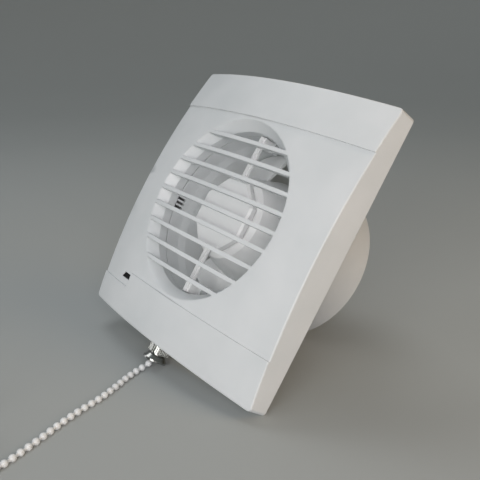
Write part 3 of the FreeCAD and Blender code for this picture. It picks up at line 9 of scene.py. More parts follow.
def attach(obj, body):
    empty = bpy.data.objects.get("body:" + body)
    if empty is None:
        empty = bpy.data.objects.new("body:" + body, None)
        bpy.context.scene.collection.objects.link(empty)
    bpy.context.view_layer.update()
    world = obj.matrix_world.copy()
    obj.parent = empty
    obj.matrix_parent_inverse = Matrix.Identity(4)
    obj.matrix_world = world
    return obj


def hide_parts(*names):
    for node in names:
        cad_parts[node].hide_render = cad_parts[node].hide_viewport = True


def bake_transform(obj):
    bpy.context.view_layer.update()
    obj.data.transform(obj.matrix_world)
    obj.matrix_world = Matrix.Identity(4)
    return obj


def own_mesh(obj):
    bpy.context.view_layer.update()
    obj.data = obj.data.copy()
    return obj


bl_info = {
    "name": "Ventilation Fan Looks",
    "version": (1, 0, 0),
    "blender": (4, 5, 0),
    "location": "View3D > Sidebar > Fan",
    "description": "Finishes, ball chain and stage for a wall ventilation fan",
    "category": "Object",
}

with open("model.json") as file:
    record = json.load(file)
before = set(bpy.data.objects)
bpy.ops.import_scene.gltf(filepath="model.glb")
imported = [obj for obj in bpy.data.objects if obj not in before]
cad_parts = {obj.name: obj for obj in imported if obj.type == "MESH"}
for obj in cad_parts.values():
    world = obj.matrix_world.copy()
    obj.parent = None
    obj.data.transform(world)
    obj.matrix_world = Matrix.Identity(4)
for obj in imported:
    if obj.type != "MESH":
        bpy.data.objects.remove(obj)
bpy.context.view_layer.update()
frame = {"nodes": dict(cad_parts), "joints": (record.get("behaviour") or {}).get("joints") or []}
MM = 0.001
JOINTS = {joint["name"]: joint for joint in frame["joints"]}

# The fan's own axes as it leans on the table: right, up the cover, and out of its front
FAN_FRONT = Vector(JOINTS["impeller_spin"]["axis"])
FAN_UP = -Vector(JOINTS["chain_pull"]["axis"])
FAN_RIGHT = FAN_UP.cross(FAN_FRONT)
FAN_MIDDLE = Vector(JOINTS["impeller_spin"]["pos_m"])

# Chain on the table, in millimetres from the point under the bell's mouth
CHAIN_ON_TABLE = (
    (0.8, -8.6), (4.6, -18.2), (9.8, -27.0), (16.4, -39.4), (20.2, -51.0), (25.4, -63.4), (33.4, -78.6),
    (41.2, -95.6),
)
CHAIN_HEADING = math.radians(-68.0)
COIL_ENTRY = (52.6, -122.0)

# Straight run before the coil, in millimetres, and the points on each of its turns
LEAD_IN = 12.0
POINTS_PER_TURN = 16
Route = collections.namedtuple("Route", "points coil_middle entry_angle end_heading")

# Faces round a bead and from end to end, and how far its link reaches, as a share of the gap to the next bead
BEAD_SEGMENTS = 10
BEAD_RINGS = 7
LINK_REACH = 1.2
BEAD_ROUGHNESS = 0.38

# The knob's outline beyond its neck, as shares of its greatest radius and of its length, and its bore's play
KNOB_OUTLINE = ((0.5, 0.17), (0.76, 0.33), (0.94, 0.5), (1.0, 0.66), (0.95, 0.82), (0.74, 0.95), (0.4, 1.0))
KNOB_STEPS = 36
BORE_PLAY = 0.1

# Rounding of the band's edges, in millimetres
BAND_ROUND = 0.12

# Edges sharper than these stay creased
BEAD_CREASE = math.radians(48)
KNOB_CREASE = math.radians(50)
BAND_CREASE = math.radians(40)

# Skin of the white mouldings, in millimetres. The grain, really 0.15 mm, is drawn coarser so that it shows
CLOUD = 35.0
MOULD_GRAIN = 0.5

# Rounding of edges, in millimetres, and its growth towards the rim of the inlet mouth, from far to near
EDGE_ROUND = 0.35
MOUTH_ROUND = 1.6
MOUTH_RADIUS = 52.2
MOUTH_NEAR = 1.5
MOUTH_FAR = 3.5

# Marks of plated metal, waves of pressed acrylic and tooth of matt paper, in millimetres
TURNING_MARKS = 0.3
GLOSS_CHANGE = 4.0
ACRYLIC_WAVE = 3.0
PAPER_TOOTH = 1.5

# Section of the floor: radius and height in metres
FLOOR_SECTION = ((0, 0), (0.9, 0), (1.25, 0.06), (1.5, 0.22), (1.65, 0.5), (1.7, 0.9), (1.7, 1.5))
FLOOR_STEPS = 40
SENSOR = 36.0

# Soft square lamps: side, distance from the fan and the point that they shine at, in metres
LAMP_SIDE = 0.5
LAMP_REACH = 1.1
LAMP_AIM = Vector((0, 0, 0.07))

# Lamps about the fan: bearing from its front, towards its right, and height in degrees, colour and watts
LAMPS = (
    ("left", -100, 60, "#FFFFFF", 2.3),
    ("front_left", -50, 15, "#FBFAFF", 1.1),
    ("front", 30, 15, "#FFFFFC", 4.1),
    ("front_right", 60, 20, "#FFF6F8", 4.5),
    ("warm_right", 120, 30, "#FFD084", 2.3),
)


def linear(code):
    """An sRGB hex colour as linear red, green and blue."""
    parts = [int(code[i:i + 2], 16) / 255 for i in (1, 3, 5)]
    return [p / 12.92 if p <= 0.04045 else ((p + 0.055) / 1.055) ** 2.4 for p in parts]


def size(name, description, default):
    """A length in millimetres that a user may change."""
    return bpy.props.FloatProperty(name=name, description=description, default=default, min=0.0)


def colour(name, description, code):
    """A colour that a user may change, from its sRGB hex value."""
    return bpy.props.FloatVectorProperty(
        name=name, description=description, subtype="COLOR", size=3, min=0.0, max=1.0, default=linear(code))


class FanColours(bpy.types.PropertyGroup):
    """Colours of the fan's materials."""
    shell: colour("Shell", "Moulded white of cover and casing", "#D8DBDC")
    shell_shade: colour("Shell shade", "Slightly darker white that clouds the mouldings", "#D1D5D6")
    # Painted light: the motor cap, hub and blades get a whiter white than the shell, to make up for the shade
    # that the inlet mouth casts on them
    impeller: colour("Impeller", "Brighter white of motor cap, hub and blades", "#F0F1F1")
    impeller_shade: colour("Impeller shade", "White that clouds motor cap, hub and blades", "#E9EBEB")
    bead: colour("Beads", "White of the chain's beads and the knob", "#E2E4E4")
    # Painted shade in the reflections: the nickel is darker than bare plating, so that what it mirrors comes
    # out dark
    darkened_nickel: colour("Nickel", "Plated pull-switch bushing", "#A3A4A1")
    window: colour("Window", "Dark indicator window", "#050506")
    steel: colour("Steel", "Zinc-plated screws and shaft", "#A9ABAE")
    copper: colour("Copper", "Motor windings", "#B0672F")
    brass: colour("Brass", "Bearing and contacts", "#B58B4A")
    board: colour("Board", "Circuit board", "#1F5A31")
    dark: colour("Dark plastic", "Switch body and magnet", "#2A2A2D")
    lead: colour("Leads", "Sleeves of the inner leads", "#B9BBBB")


class ChainSizes(bpy.types.PropertyGroup):
    """Sizes of the pull chain, in millimetres."""
    bead: size("Bead", "Diameter of a bead", 3.7)
    pitch: size("Pitch", "From bead to bead", 4.6)
    plunger_end: size("Plunger end", "Start of the chain, below the fan axis", 80.0)
    bell_end: size("Bell end", "Mouth of the bell, below the fan axis", 88.2)
    bell_depth: size("Bell depth", "Pull switch's axis, out of the wall face", 10.0)
    coil_outer: size("Coil", "Radius of the coil's outer turn", 21.8)
    coil_pitch: size("Coil pitch", "From turn to turn", 4.3)
    coil_turns: size("Coil turns", "Turns of the coil, in two layers", 4.5)
    layer_rise: size("Layer", "From layer to layer", 4.2)
    tie_thick: size("Tie", "Thickness of the tie", 0.5)
    tie_gap: size("Tie gap", "Between tie and chain", 0.3)
    tie_width: size("Tie width", "Width of the tie", 3.0)
    tail: size("Tail", "Free chain between the coil and the knob", 14.0)
    knob_length: size("Knob", "Length of the pull knob", 24.0)
    knob_neck: size("Knob neck", "Radius of the knob's narrow end", 2.85)
    knob_bore: size("Knob bore", "How far the chain goes into the knob", 3.0)


class StageSettings(bpy.types.PropertyGroup):
    """Camera, lamps and floor."""
    camera_at: bpy.props.FloatVectorProperty(
        name="Camera", description="Place of the camera in millimetres", default=(298.2, -224.2, 170.7))
    camera_to: bpy.props.FloatVectorProperty(
        name="Target", description="Point that the camera looks at, in millimetres",
        default=(42.2, -37.4, 78.7))
    camera_roll: bpy.props.FloatProperty(
        name="Roll", description="Turn of the camera about its view, in degrees", default=-1.68)
    lens: bpy.props.FloatProperty(
        name="Lens", description="Focal length on a 36 mm sensor", default=51.4, subtype="DISTANCE_CAMERA")
    shift_up: bpy.props.FloatProperty(
        name="Shift", description="Upward shift of the lens, as a share of the picture", default=-0.00625)
    floor: colour("Floor", "Pale floor and backdrop", "#A6AAA9")
    sky: bpy.props.FloatProperty(name="Sky", description="Even light from above", default=0.28)
    sky_tint: colour("Sky tint", "Colour of the even light", "#E8F6FF")


def on_fan(x, y, z):
    """A point given in millimetres on the fan's own axes, as a place in the scene."""
    return FAN_MIDDLE + (FAN_RIGHT * x + FAN_UP * y + FAN_FRONT * z) * MM


def only(*objects):
    """Selects just these objects, the first of them active."""
    bpy.ops.object.select_all(action="DESELECT")
    for item in objects:
        item.select_set(True)
    bpy.context.view_layer.objects.active = objects[0]


def settle(piece, name):
    """Names a piece, and puts its place and turn into its mesh."""
    piece.name = name
    piece.data.name = name
    only(piece)
    bpy.ops.object.transform_apply(location=True, rotation=True, scale=True)
    return piece


def dress(item, material):
    """Gives a piece this material alone."""
    item.data.materials.clear()
    item.data.materials.append(material)


def add(tree, kind, inputs=None, **settings):
    """Adds a shader node, with its settings, its values and its links."""
    made = tree.nodes.new("ShaderNode" + kind)
    for key, value in settings.items():
        setattr(made, key, value)
    for key, value in (inputs or {}).items():
        if isinstance(value, bpy.types.NodeSocket):
            tree.links.new(value, made.inputs[key])
        else:
            made.inputs[key].default_value = value
    return made


def new_material(name):
    """A node material, and if it is new, its empty tree and its Object coordinates."""
    material = bpy.data.materials.get(name)
    if material:
        return material, None, None
    material = bpy.data.materials.new(name)
    material.use_nodes = True
    tree = material.node_tree
    tree.nodes.clear()
    return material, tree, add(tree, "TexCoord").outputs["Object"]


def close(tree, shader):
    """Links the finished shader to the material's output."""
    add(tree, "OutputMaterial", {"Surface": shader.outputs[0]})


def rgba(values):
    """A colour with full opacity."""
    return (*values, 1.0)


def moulded_abs(name, light, shade, roughness=0.42):
    """Injection-moulded ABS: an even satin skin, clouded slightly, with the mould's fine eroded grain."""
    material, tree, place = new_material(name)
    if tree:
        cloud = add(tree, "TexNoise", {
            "Vector": place, "Scale": 1 / (CLOUD * MM), "Detail": 3.0, "Roughness": 0.55})
        grain = add(tree, "TexNoise", {"Vector": place, "Scale": 1 / (MOULD_GRAIN * MM), "Detail": 1.0})
        tone = add(tree, "ValToRGB", {"Fac": cloud.outputs["Fac"]})
        tone.color_ramp.elements[0].position = 0.35
        tone.color_ramp.elements[0].color = rgba(shade)
        tone.color_ramp.elements[1].position = 0.65
        tone.color_ramp.elements[1].color = rgba(light)
        matt = add(tree, "MapRange", {
            "Value": cloud.outputs["Fac"], "To Min": roughness - 0.05, "To Max": roughness + 0.05})
        # Edges are rounded a little, and more round the inlet mouth, by the distance from the fan's axis
        turn = Matrix((FAN_RIGHT, FAN_UP, FAN_FRONT))
        local = add(tree, "Mapping", {
            "Vector": place, "Location": -(turn @ FAN_MIDDLE), "Rotation": turn.to_euler()})
        flat = add(tree, "VectorMath", {0: local.outputs[0], 1: (1.0, 1.0, 0.0)}, operation="MULTIPLY")
        reach = add(tree, "VectorMath", {0: flat.outputs[0]}, operation="LENGTH")
        off = add(tree, "Math", {0: reach.outputs["Value"], 1: MOUTH_RADIUS * MM}, operation="SUBTRACT")
        near = add(tree, "Math", {0: off.outputs[0]}, operation="ABSOLUTE")
        soft = add(tree, "MapRange", {
            "Value": near.outputs[0], "From Min": MOUTH_NEAR * MM, "From Max": MOUTH_FAR * MM,
            "To Min": MOUTH_ROUND * MM, "To Max": EDGE_ROUND * MM})
        edge = add(tree, "Bevel", {"Radius": soft.outputs["Result"]}, samples=6)
        skin = add(tree, "Bump", {
            "Height": grain.outputs["Fac"], "Strength": 0.12, "Distance": 0.02 * MM,
            "Normal": edge.outputs["Normal"]})
        close(tree, add(tree, "BsdfPrincipled", {
            "Base Color": tone.outputs["Color"], "Roughness": matt.outputs["Result"], "IOR": 1.53,
            "Normal": skin.outputs["Normal"]}))
    return material


def plated_metal(name, tint, roughness):
    """Plated metal: bright, with faint turning marks and a little unevenness in its gloss."""
    material, tree, place = new_material(name)
    if tree:
        marks = add(tree, "TexNoise", {"Vector": place, "Scale": 1 / (TURNING_MARKS * MM), "Detail": 2.0})
        gloss = add(tree, "TexNoise", {"Vector": place, "Scale": 1 / (GLOSS_CHANGE * MM), "Detail": 2.0})
        matt = add(tree, "MapRange", {
            "Value": gloss.outputs["Fac"], "To Min": roughness - 0.08, "To Max": roughness + 0.08})
        skin = add(tree, "Bump", {"Height": marks.outputs["Fac"], "Strength": 0.2, "Distance": 0.02 * MM})
        close(tree, add(tree, "BsdfPrincipled", {
            "Base Color": rgba(tint), "Metallic": 1.0, "Roughness": matt.outputs["Result"],
            "Normal": skin.outputs["Normal"]}))
    return material


def dark_acrylic(name, tint):
    """Dark tinted acrylic: a smooth pressed window with faint waves in its gloss."""
    material, tree, place = new_material(name)
    if tree:
        wave = add(tree, "TexNoise", {"Vector": place, "Scale": 1 / (ACRYLIC_WAVE * MM), "Detail": 1.0})
        skin = add(tree, "Bump", {"Height": wave.outputs["Fac"], "Strength": 0.05, "Distance": 0.05 * MM})
        close(tree, add(tree, "BsdfPrincipled", {
            "Base Color": rgba(tint), "Roughness": 0.3, "IOR": 1.49, "Specular IOR Level": 0.05,
            "Normal": skin.outputs["Normal"]}))
    return material


def matt_part(name, tint, roughness, grain_mm):
    """A plain inner part: nylon, laminate, ferrite or sleeve, with a fine grain in tone and surface."""
    material, tree, place = new_material(name)
    if tree:
        grain = add(tree, "TexNoise", {"Vector": place, "Scale": 1 / (grain_mm * MM), "Detail": 2.0})
        darker = [0.86 * part for part in tint]
        tone = add(tree, "Mix", {
            "Factor": grain.outputs["Fac"], "A": rgba(darker), "B": rgba(tint)}, data_type="RGBA")
        skin = add(tree, "Bump", {"Height": grain.outputs["Fac"], "Strength": 0.15, "Distance": 0.05 * MM})
        close(tree, add(tree, "BsdfPrincipled", {
            "Base Color": tone.outputs[2], "Roughness": roughness, "Normal": skin.outputs["Normal"]}))
    return material


def clear_lamp(name, tint):
    """Lamp of clear cast epoxy with a warm tint."""
    material, tree, _ = new_material(name)
    if tree:
        close(tree, add(tree, "BsdfPrincipled", {
            "Base Color": rgba(tint), "Roughness": 0.1, "IOR": 1.5, "Transmission Weight": 0.8}))
    return material


def turned(profile, steps):
    """A shape turned about Z from a profile of radius and height, in metres."""
    bpy.ops.object.select_all(action="DESELECT")
    bpy.ops.mesh.primitive_plane_add(size=MM)
    shape = bpy.context.object
    bpy.ops.object.mode_set(mode="EDIT")
    bpy.ops.mesh.select_mode(type="VERT")
    bpy.ops.mesh.merge(type="CENTER")
    before = Vector((0, 0, 0))
    for radius, height in profile:
        spot = Vector((radius, 0, height))
        bpy.ops.mesh.extrude_region_move(TRANSFORM_OT_translate={"value": spot - before})
        before = spot
    bpy.ops.object.mode_set(mode="OBJECT")
    for vertex in shape.data.vertices:
        vertex.select = vertex.index == 0
    bpy.ops.object.mode_set(mode="EDIT")
    bpy.ops.mesh.delete(type="VERT")
    bpy.ops.mesh.select_all(action="SELECT")
    bpy.ops.mesh.spin(steps=steps, angle=2 * math.pi, center=(0, 0, 0), axis=(0, 0, 1))
    bpy.ops.mesh.select_all(action="SELECT")
    bpy.ops.mesh.remove_doubles(threshold=0.01 * MM)
    bpy.ops.mesh.normals_make_consistent(inside=False)
    bpy.ops.object.mode_set(mode="OBJECT")
    finish = shape.modifiers.new("smooth", "SUBSURF")
    finish.levels = 1
    finish.render_levels = 1
    bpy.ops.object.modifier_apply(modifier="smooth")
    return shape


def chain_route():
    """Control points of the chain from the plunger to the knob, the place of its coil and the way it ends."""
    sizes = bpy.context.scene.fan_chain
    radius = sizes.bead / 2
    mouth = on_fan(0, -sizes.bell_end, sizes.bell_depth)
    under = Vector((mouth.x, mouth.y, 0))

    def spot(x, y, z):
        return under + Vector((x, y, z)) * MM

    base = radius + sizes.tie_thick + sizes.tie_gap
    heading = Vector((math.cos(CHAIN_HEADING), math.sin(CHAIN_HEADING), 0))
    entry = spot(*COIL_ENTRY, base)
    start = entry - heading * sizes.bead * MM
    points = [on_fan(0, -sizes.plunger_end, sizes.bell_depth), mouth]
    points += [spot(x, y, radius) for x, y in CHAIN_ON_TABLE]
    points += [start - heading * LEAD_IN * MM, start]
    middle = entry + Vector((heading.y, -heading.x, 0)) * sizes.coil_outer * MM
    first = math.atan2(entry.y - middle.y, entry.x - middle.x)
    half = sizes.coil_turns / 2
    for i in range(int(round(sizes.coil_turns * POINTS_PER_TURN)) + 1):
        turn = i / POINTS_PER_TURN
        reach = sizes.coil_outer - sizes.coil_pitch * (half - abs(turn - half))
        climb = min(max((turn - half) * 2 + 0.5, 0.0), 1.0)
        lift = sizes.layer_rise * (3 * climb ** 2 - 2 * climb ** 3)
        angle = first - 2 * math.pi * turn
        points.append(middle + Vector((reach * math.cos(angle), reach * math.sin(angle), lift)) * MM)
    last = Vector((math.sin(angle), -math.cos(angle), 0))
    points.append(points[-1] + last * sizes.bead * MM)
    points.append(points[-1] + last * sizes.tail * MM)
    return Route(points, middle, first, last)


def smooth_line(points):
    """Points along the NURBS spline that has these control points."""
    curve = bpy.data.curves.new("chain_line", "CURVE")
    curve.dimensions = "3D"
    spline = curve.splines.new("NURBS")
    spline.points.add(len(points) - 1)
    for knot, point in zip(spline.points, points):
        knot.co = (*point, 1.0)
    spline.order_u = 3
    spline.use_endpoint_u = True
    spline.resolution_u = 8
    carrier = bpy.data.objects.new("chain_line", curve)
    bpy.context.scene.collection.objects.link(carrier)
    bpy.context.view_layer.update()
    mesh = bpy.data.meshes.new_from_object(carrier.evaluated_get(bpy.context.evaluated_depsgraph_get()))
    line = [vertex.co.copy() for vertex in mesh.vertices]
    bpy.data.meshes.remove(mesh)
    bpy.data.objects.remove(carrier)
    bpy.data.curves.remove(curve)
    return line


def stations(line, step):
    """Places and headings at equal steps along a line of points."""
    found = []
    run = 0.0
    wanted = step / 2
    for here, there in zip(line, line[1:]):
        length = (there - here).length
        while length > 0 and wanted <= run + length:
            found.append((here.lerp(there, (wanted - run) / length), (there - here).normalized()))
            wanted += step
        run += length
    return found, run


class FAN_OT_shells(bpy.types.Operator):
    """Gives the white mouldings their satin skin"""
    bl_idname = "fan.shells"
    bl_label = "Moulded shells"

    def execute(self, context):
        colours = context.scene.fan_colours
        skin = moulded_abs("white_moulded_abs", colours.shell, colours.shell_shade)
        for node in ("front_cover", "casing"):
            dress(frame["nodes"][node], skin)
        # Painted light: the cap, hub and blades get a whiter copy of the shell's moulding, lighter to stand
        # in for light that the inlet mouth keeps out
        bright = moulded_abs("painted_light_moulded_abs", colours.impeller, colours.impeller_shade)
        for node in ("motor_carrier", "impeller"):
            dress(frame["nodes"][node], bright)
        return {"FINISHED"}


class FAN_OT_indicator(bpy.types.Operator):
    """Finishes the dark window and the lamp behind it"""
    bl_idname = "fan.indicator"
    bl_label = "Indicator window"

    def execute(self, context):
        colours = context.scene.fan_colours
        dress(frame["nodes"]["indicator_window"], dark_acrylic("dark_window_acrylic", colours.window))
        dress(frame["nodes"]["indicator_lamp"], clear_lamp("clear_lamp_epoxy", linear("#D98A4A")))
        return {"FINISHED"}


class FAN_OT_bushing(bpy.types.Operator):
    """Plates the pull switch's barrel, nut and bell"""
    bl_idname = "fan.bushing"
    bl_label = "Plated bushing"

    def execute(self, context):
        # Painted shade in the reflections: the plating's tint is darkened so that barrel, nut and bell mirror
        # their surroundings darker than bare nickel would
        darkened_nickel = plated_metal("darkened_nickel_plate", context.scene.fan_colours.darkened_nickel, roughness=0.2)
        for node in ("switch_barrel", "knurled_nut", "chain_bell"):
            dress(frame["nodes"][node], darkened_nickel)
        return {"FINISHED"}


class FAN_OT_inner_parts(bpy.types.Operator):
    """Finishes the motor, wiring and switch inside the casing"""
    bl_idname = "fan.inner_parts"
    bl_label = "Inner parts"

    def execute(self, context):
        colours = context.scene.fan_colours
        zinc = plated_metal("zinc_plated_steel", colours.steel, roughness=0.35)
        copper = plated_metal("enamelled_copper", colours.copper, roughness=0.3)
        brass = plated_metal("stamped_brass", colours.brass, roughness=0.35)
        nylon = matt_part("natural_nylon", linear("#DEDED6"), roughness=0.5, grain_mm=0.6)
        dark = matt_part("dark_phenolic", colours.dark, roughness=0.5, grain_mm=0.4)
        laminate = matt_part("glass_epoxy_board", colours.board, roughness=0.45, grain_mm=0.5)
        rubber = matt_part("black_rubber", linear("#1C1C1C"), roughness=0.7, grain_mm=0.5)
        sleeve = matt_part("pvc_sleeve", colours.lead, roughness=0.45, grain_mm=0.8)
        finishes = {
            zinc: ("carrier_screws", "clamp_screws", "terminal_screws", "rotor_yoke", "rotor_shaft",
                   "shaft_clip", "cam_pin", "return_spring", "stator_core"),
            copper: ("stator_coils",),
            brass: ("sleeve_bearing", "switch_contacts"),
            nylon: ("thrust_washer", "switch_plunger", "switch_cam", "cable_clamp", "terminal_block"),
            dark: ("switch_body", "switch_lid", "rotor_magnet"),
            laminate: ("circuit_board",),
            rubber: ("cable_grommet",),
            sleeve: ("motor_leads", "switch_leads"),
        }
        for material, nodes in finishes.items():
            for node in nodes:
                dress(frame["nodes"][node], material)
        self.shorten_spring(frame["nodes"]["return_spring"])
        return {"FINISHED"}

    def shorten_spring(self, spring):
        """A pull presses the spring down on the barrel, by the plunger's whole travel; here the spring only
        gets a mesh of its own, and its shape is left as it is.
        """
        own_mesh(spring)


class FAN_OT_chain(bpy.types.Operator):
    """Strings the white bead chain along its route, with its put-away coil"""
    bl_idname = "fan.chain"
    bl_label = "Ball chain"

    def execute(self, context):
        sizes = context.scene.fan_chain
        points = chain_route().points
        line = smooth_line(points)
        places, length = stations(line, sizes.pitch * MM)
        bead = self.model_bead(sizes)
        beads = []
        for place, heading in places:
            copy = bead.copy()
            copy.data = bead.data.copy()
            context.scene.collection.objects.link(copy)
            turn = heading.to_track_quat("Z", "Y").to_matrix().to_4x4()
            copy.matrix_world = Matrix.Translation(place) @ turn
            beads.append(copy)
        bpy.data.objects.remove(bead)
        only(*beads)
        bpy.ops.object.join()
        chain = settle(context.view_layer.objects.active, "ball_chain")
        bpy.ops.object.shade_smooth_by_angle(angle=BEAD_CREASE)
        colours = context.scene.fan_colours
        dress(chain, moulded_abs("white_moulded_beads", colours.bead, colours.shell, BEAD_ROUGHNESS))
        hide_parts("pull_chain", "chain_coil", "chain_tail")
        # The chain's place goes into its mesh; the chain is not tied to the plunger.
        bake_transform(chain)
        return {"FINISHED"}

    def model_bead(self, sizes):
        """One bead with the link that reaches into the next: a sphere whose top is drawn out to a stem."""
        radius = sizes.bead / 2 * MM
        bpy.ops.object.select_all(action="DESELECT")
        bpy.ops.mesh.primitive_uv_sphere_add(segments=BEAD_SEGMENTS, ring_count=BEAD_RINGS, radius=radius)
        bead = bpy.context.object
        bpy.ops.object.mode_set(mode="EDIT")
        bpy.ops.mesh.select_mode(type="FACE")
        bpy.ops.mesh.select_all(action="DESELECT")
        bpy.ops.object.mode_set(mode="OBJECT")
        cap_from = 0.9 * radius
        for face in bead.data.polygons:
            face.select = face.center.z > cap_from
        bpy.ops.object.mode_set(mode="EDIT")
        stem = (sizes.pitch - sizes.bead) * MM * LINK_REACH
        bpy.ops.mesh.extrude_region_move(TRANSFORM_OT_translate={"value": (0, 0, stem)})
        bpy.ops.object.mode_set(mode="OBJECT")
        return bead


class FAN_OT_knob(bpy.types.Operator):
    """Turns the pull knob at the end of the chain"""
    bl_idname = "fan.knob"
    bl_label = "Pull knob"

    def execute(self, context):
        sizes = context.scene.fan_chain
        route = chain_route()
        radius = (sizes.bead / 2 + sizes.tie_thick + sizes.tie_gap + sizes.layer_rise) * MM
        length = sizes.knob_length * MM
        bore = (sizes.bead / 2 + BORE_PLAY) * MM
        deep = sizes.knob_bore * MM
        profile = [(0, deep), (bore, deep), (bore, 0), (sizes.knob_neck * MM, 0)]
        for share, along in KNOB_OUTLINE:
            profile.append((share * radius, along * length))
        profile.append((0, length))
        knob = turned(profile, KNOB_STEPS)
        start = route.points[-1] - route.end_heading * sizes.knob_bore * MM
        turn = route.end_heading.to_track_quat("Z", "Y").to_matrix().to_4x4()
        knob.matrix_world = Matrix.Translation(start) @ turn
        settle(knob, "pull_knob_turned")
        bpy.ops.object.shade_smooth_by_angle(angle=KNOB_CREASE)
        colours = context.scene.fan_colours
        dress(knob, moulded_abs("white_moulded_beads", colours.bead, colours.shell, BEAD_ROUGHNESS))
        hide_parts("pull_knob")
        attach(knob, "frame")
        return {"FINISHED"}


class FAN_OT_tie(bpy.types.Operator):
    """Winds a soft band round all turns of the put-away coil"""
    bl_idname = "fan.tie"
    bl_label = "Coil band"

    def execute(self, context):
        sizes = context.scene.fan_chain
        route = chain_route()
        radius = sizes.bead / 2
        inner = sizes.coil_outer - sizes.coil_pitch * sizes.coil_turns / 2 - radius - sizes.tie_gap
        outer = sizes.coil_outer - sizes.coil_pitch / 4 + radius + sizes.tie_gap
        high = 2 * radius + 2 * sizes.tie_gap + sizes.layer_rise + sizes.tie_thick
        bpy.ops.object.select_all(action="DESELECT")
        bpy.ops.mesh.primitive_plane_add(size=MM)
        band = bpy.context.object
        band.scale = ((outer - inner), high - sizes.tie_thick, 1)
        band.rotation_euler = (math.pi / 2, 0, 0)
        band.location = (
            (inner + outer) / 2 * MM, sizes.tie_width / 2 * MM, (high + sizes.tie_thick) / 2 * MM)
        settle(band, "coil_band")
        bpy.ops.object.mode_set(mode="EDIT")
        bpy.ops.mesh.select_all(action="SELECT")
        bpy.ops.mesh.delete(type="ONLY_FACE")
        bpy.ops.mesh.select_all(action="SELECT")
        bpy.ops.mesh.bevel(offset=radius * MM, segments=6, affect="VERTICES")
        bpy.ops.mesh.select_all(action="SELECT")
        bpy.ops.mesh.extrude_region_move(TRANSFORM_OT_translate={"value": (0, -sizes.tie_width * MM, 0)})
        bpy.ops.mesh.select_all(action="SELECT")
        bpy.ops.mesh.normals_make_consistent(inside=False)
        bpy.ops.object.mode_set(mode="OBJECT")
        wall = band.modifiers.new("wall", "SOLIDIFY")
        wall.thickness = sizes.tie_thick * MM
        wall.offset = 1.0
        bpy.ops.object.modifier_apply(modifier="wall")
        soft = band.modifiers.new("soft", "BEVEL")
        soft.width = BAND_ROUND * MM
        soft.segments = 2
        bpy.ops.object.modifier_apply(modifier="soft")
        turn = Matrix.Rotation(route.entry_angle - math.pi / 2, 4, "Z")
        band.matrix_world = Matrix.Translation((*route.coil_middle.xy, 0)) @ turn
        settle(band, "coil_band")
        bpy.ops.object.shade_smooth_by_angle(angle=BAND_CREASE)
        dress(band, matt_part("soft_paper_band", linear("#D8D6CE"), roughness=0.7, grain_mm=0.4))
        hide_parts("coil_tie")
        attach(band, "frame")
        return {"FINISHED"}


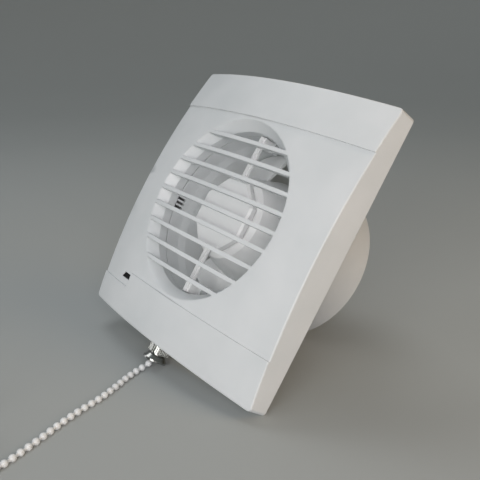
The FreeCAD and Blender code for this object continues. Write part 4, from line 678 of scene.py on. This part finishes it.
class FAN_OT_stage(bpy.types.Operator):
    """Sets up the pale floor, the soft lamps and the camera"""
    bl_idname = "fan.stage"
    bl_label = "Stage"

    def execute(self, context):
        stage = context.scene.fan_stage
        self.lay_floor(stage)
        self.light(context, stage)
        self.aim_camera(context, stage)
        context.scene.view_settings.view_transform = "Standard"
        return {"FINISHED"}

    def lay_floor(self, stage):
        """A wide shallow bowl of paper, so that the floor runs into the backdrop with no line on any side."""
        floor = turned(FLOOR_SECTION, FLOOR_STEPS)
        settle(floor, "floor")
        bpy.ops.object.shade_smooth()
        material, tree, place = new_material("matt_backdrop_paper")
        tooth = add(tree, "TexNoise", {"Vector": place, "Scale": 1 / (PAPER_TOOTH * MM), "Detail": 2.0})
        skin = add(tree, "Bump", {"Height": tooth.outputs["Fac"], "Strength": 0.05, "Distance": 0.05 * MM})
        close(tree, add(tree, "BsdfPrincipled", {
            "Base Color": rgba(stage.floor), "Roughness": 0.85, "Normal": skin.outputs["Normal"]}))
        dress(floor, material)

    def light(self, context, stage):
        """An even sky and the soft lamps."""
        world = bpy.data.worlds.new("studio")
        world.use_nodes = True
        world.node_tree.nodes["Background"].inputs["Color"].default_value = rgba(stage.sky_tint)
        world.node_tree.nodes["Background"].inputs["Strength"].default_value = stage.sky
        context.scene.world = world
        for name, bearing, height, tint, power in LAMPS:
            lamp = bpy.data.lights.new(name, "AREA")
            lamp.energy = power
            lamp.color = linear(tint)
            lamp.size = LAMP_SIDE
            holder = bpy.data.objects.new(name, lamp)
            context.scene.collection.objects.link(holder)
            turn, rise = math.radians(bearing), math.radians(height)
            away = Vector((math.sin(turn) * math.cos(rise), -math.cos(turn) * math.cos(rise), math.sin(rise)))
            holder.location = LAMP_AIM + away * LAMP_REACH
            holder.rotation_euler = (-away).to_track_quat("-Z", "Y").to_euler()

    def aim_camera(self, context, stage):
        """The camera at the photograph's place."""
        camera = bpy.data.objects.new("camera", bpy.data.cameras.new("camera"))
        context.scene.collection.objects.link(camera)
        camera.data.sensor_width = SENSOR
        camera.data.lens = stage.lens
        camera.data.shift_y = stage.shift_up
        at = Vector(stage.camera_at) * MM
        view = (Vector(stage.camera_to) * MM - at).to_track_quat("-Z", "Y").to_matrix().to_4x4()
        roll = Matrix.Rotation(math.radians(stage.camera_roll), 4, "Z")
        camera.matrix_world = Matrix.Translation(at) @ view @ roll
        context.scene.camera = camera


class FAN_PT_panel(bpy.types.Panel):
    """Lists the fan's pieces and settings"""
    bl_idname = "FAN_PT_panel"
    bl_label = "Ventilation fan"
    bl_space_type = "VIEW_3D"
    bl_region_type = "UI"
    bl_category = "Fan"

    def draw(self, context):
        for operator in OPERATORS:
            self.layout.operator(operator.bl_idname)
        for group in (context.scene.fan_colours, context.scene.fan_chain, context.scene.fan_stage):
            column = self.layout.column()
            for name in group.__annotations__:
                column.prop(group, name)


GROUPS = {"fan_colours": FanColours, "fan_chain": ChainSizes, "fan_stage": StageSettings}
OPERATORS = (FAN_OT_stage, FAN_OT_knob, FAN_OT_tie, FAN_OT_chain, FAN_OT_shells, FAN_OT_indicator,
             FAN_OT_bushing, FAN_OT_inner_parts)


def register():
    for item in (*GROUPS.values(), *OPERATORS, FAN_PT_panel):
        bpy.utils.register_class(item)
    for name, group in GROUPS.items():
        setattr(bpy.types.Scene, name, bpy.props.PointerProperty(type=group))


def unregister():
    for name in GROUPS:
        delattr(bpy.types.Scene, name)
    for item in (FAN_PT_panel, *reversed(OPERATORS), *reversed(list(GROUPS.values()))):
        bpy.utils.unregister_class(item)


def main():
    register()
    for operator in OPERATORS:
        getattr(bpy.ops.fan, operator.bl_idname.split(".")[1])()


if __name__ == "__main__":
    main()
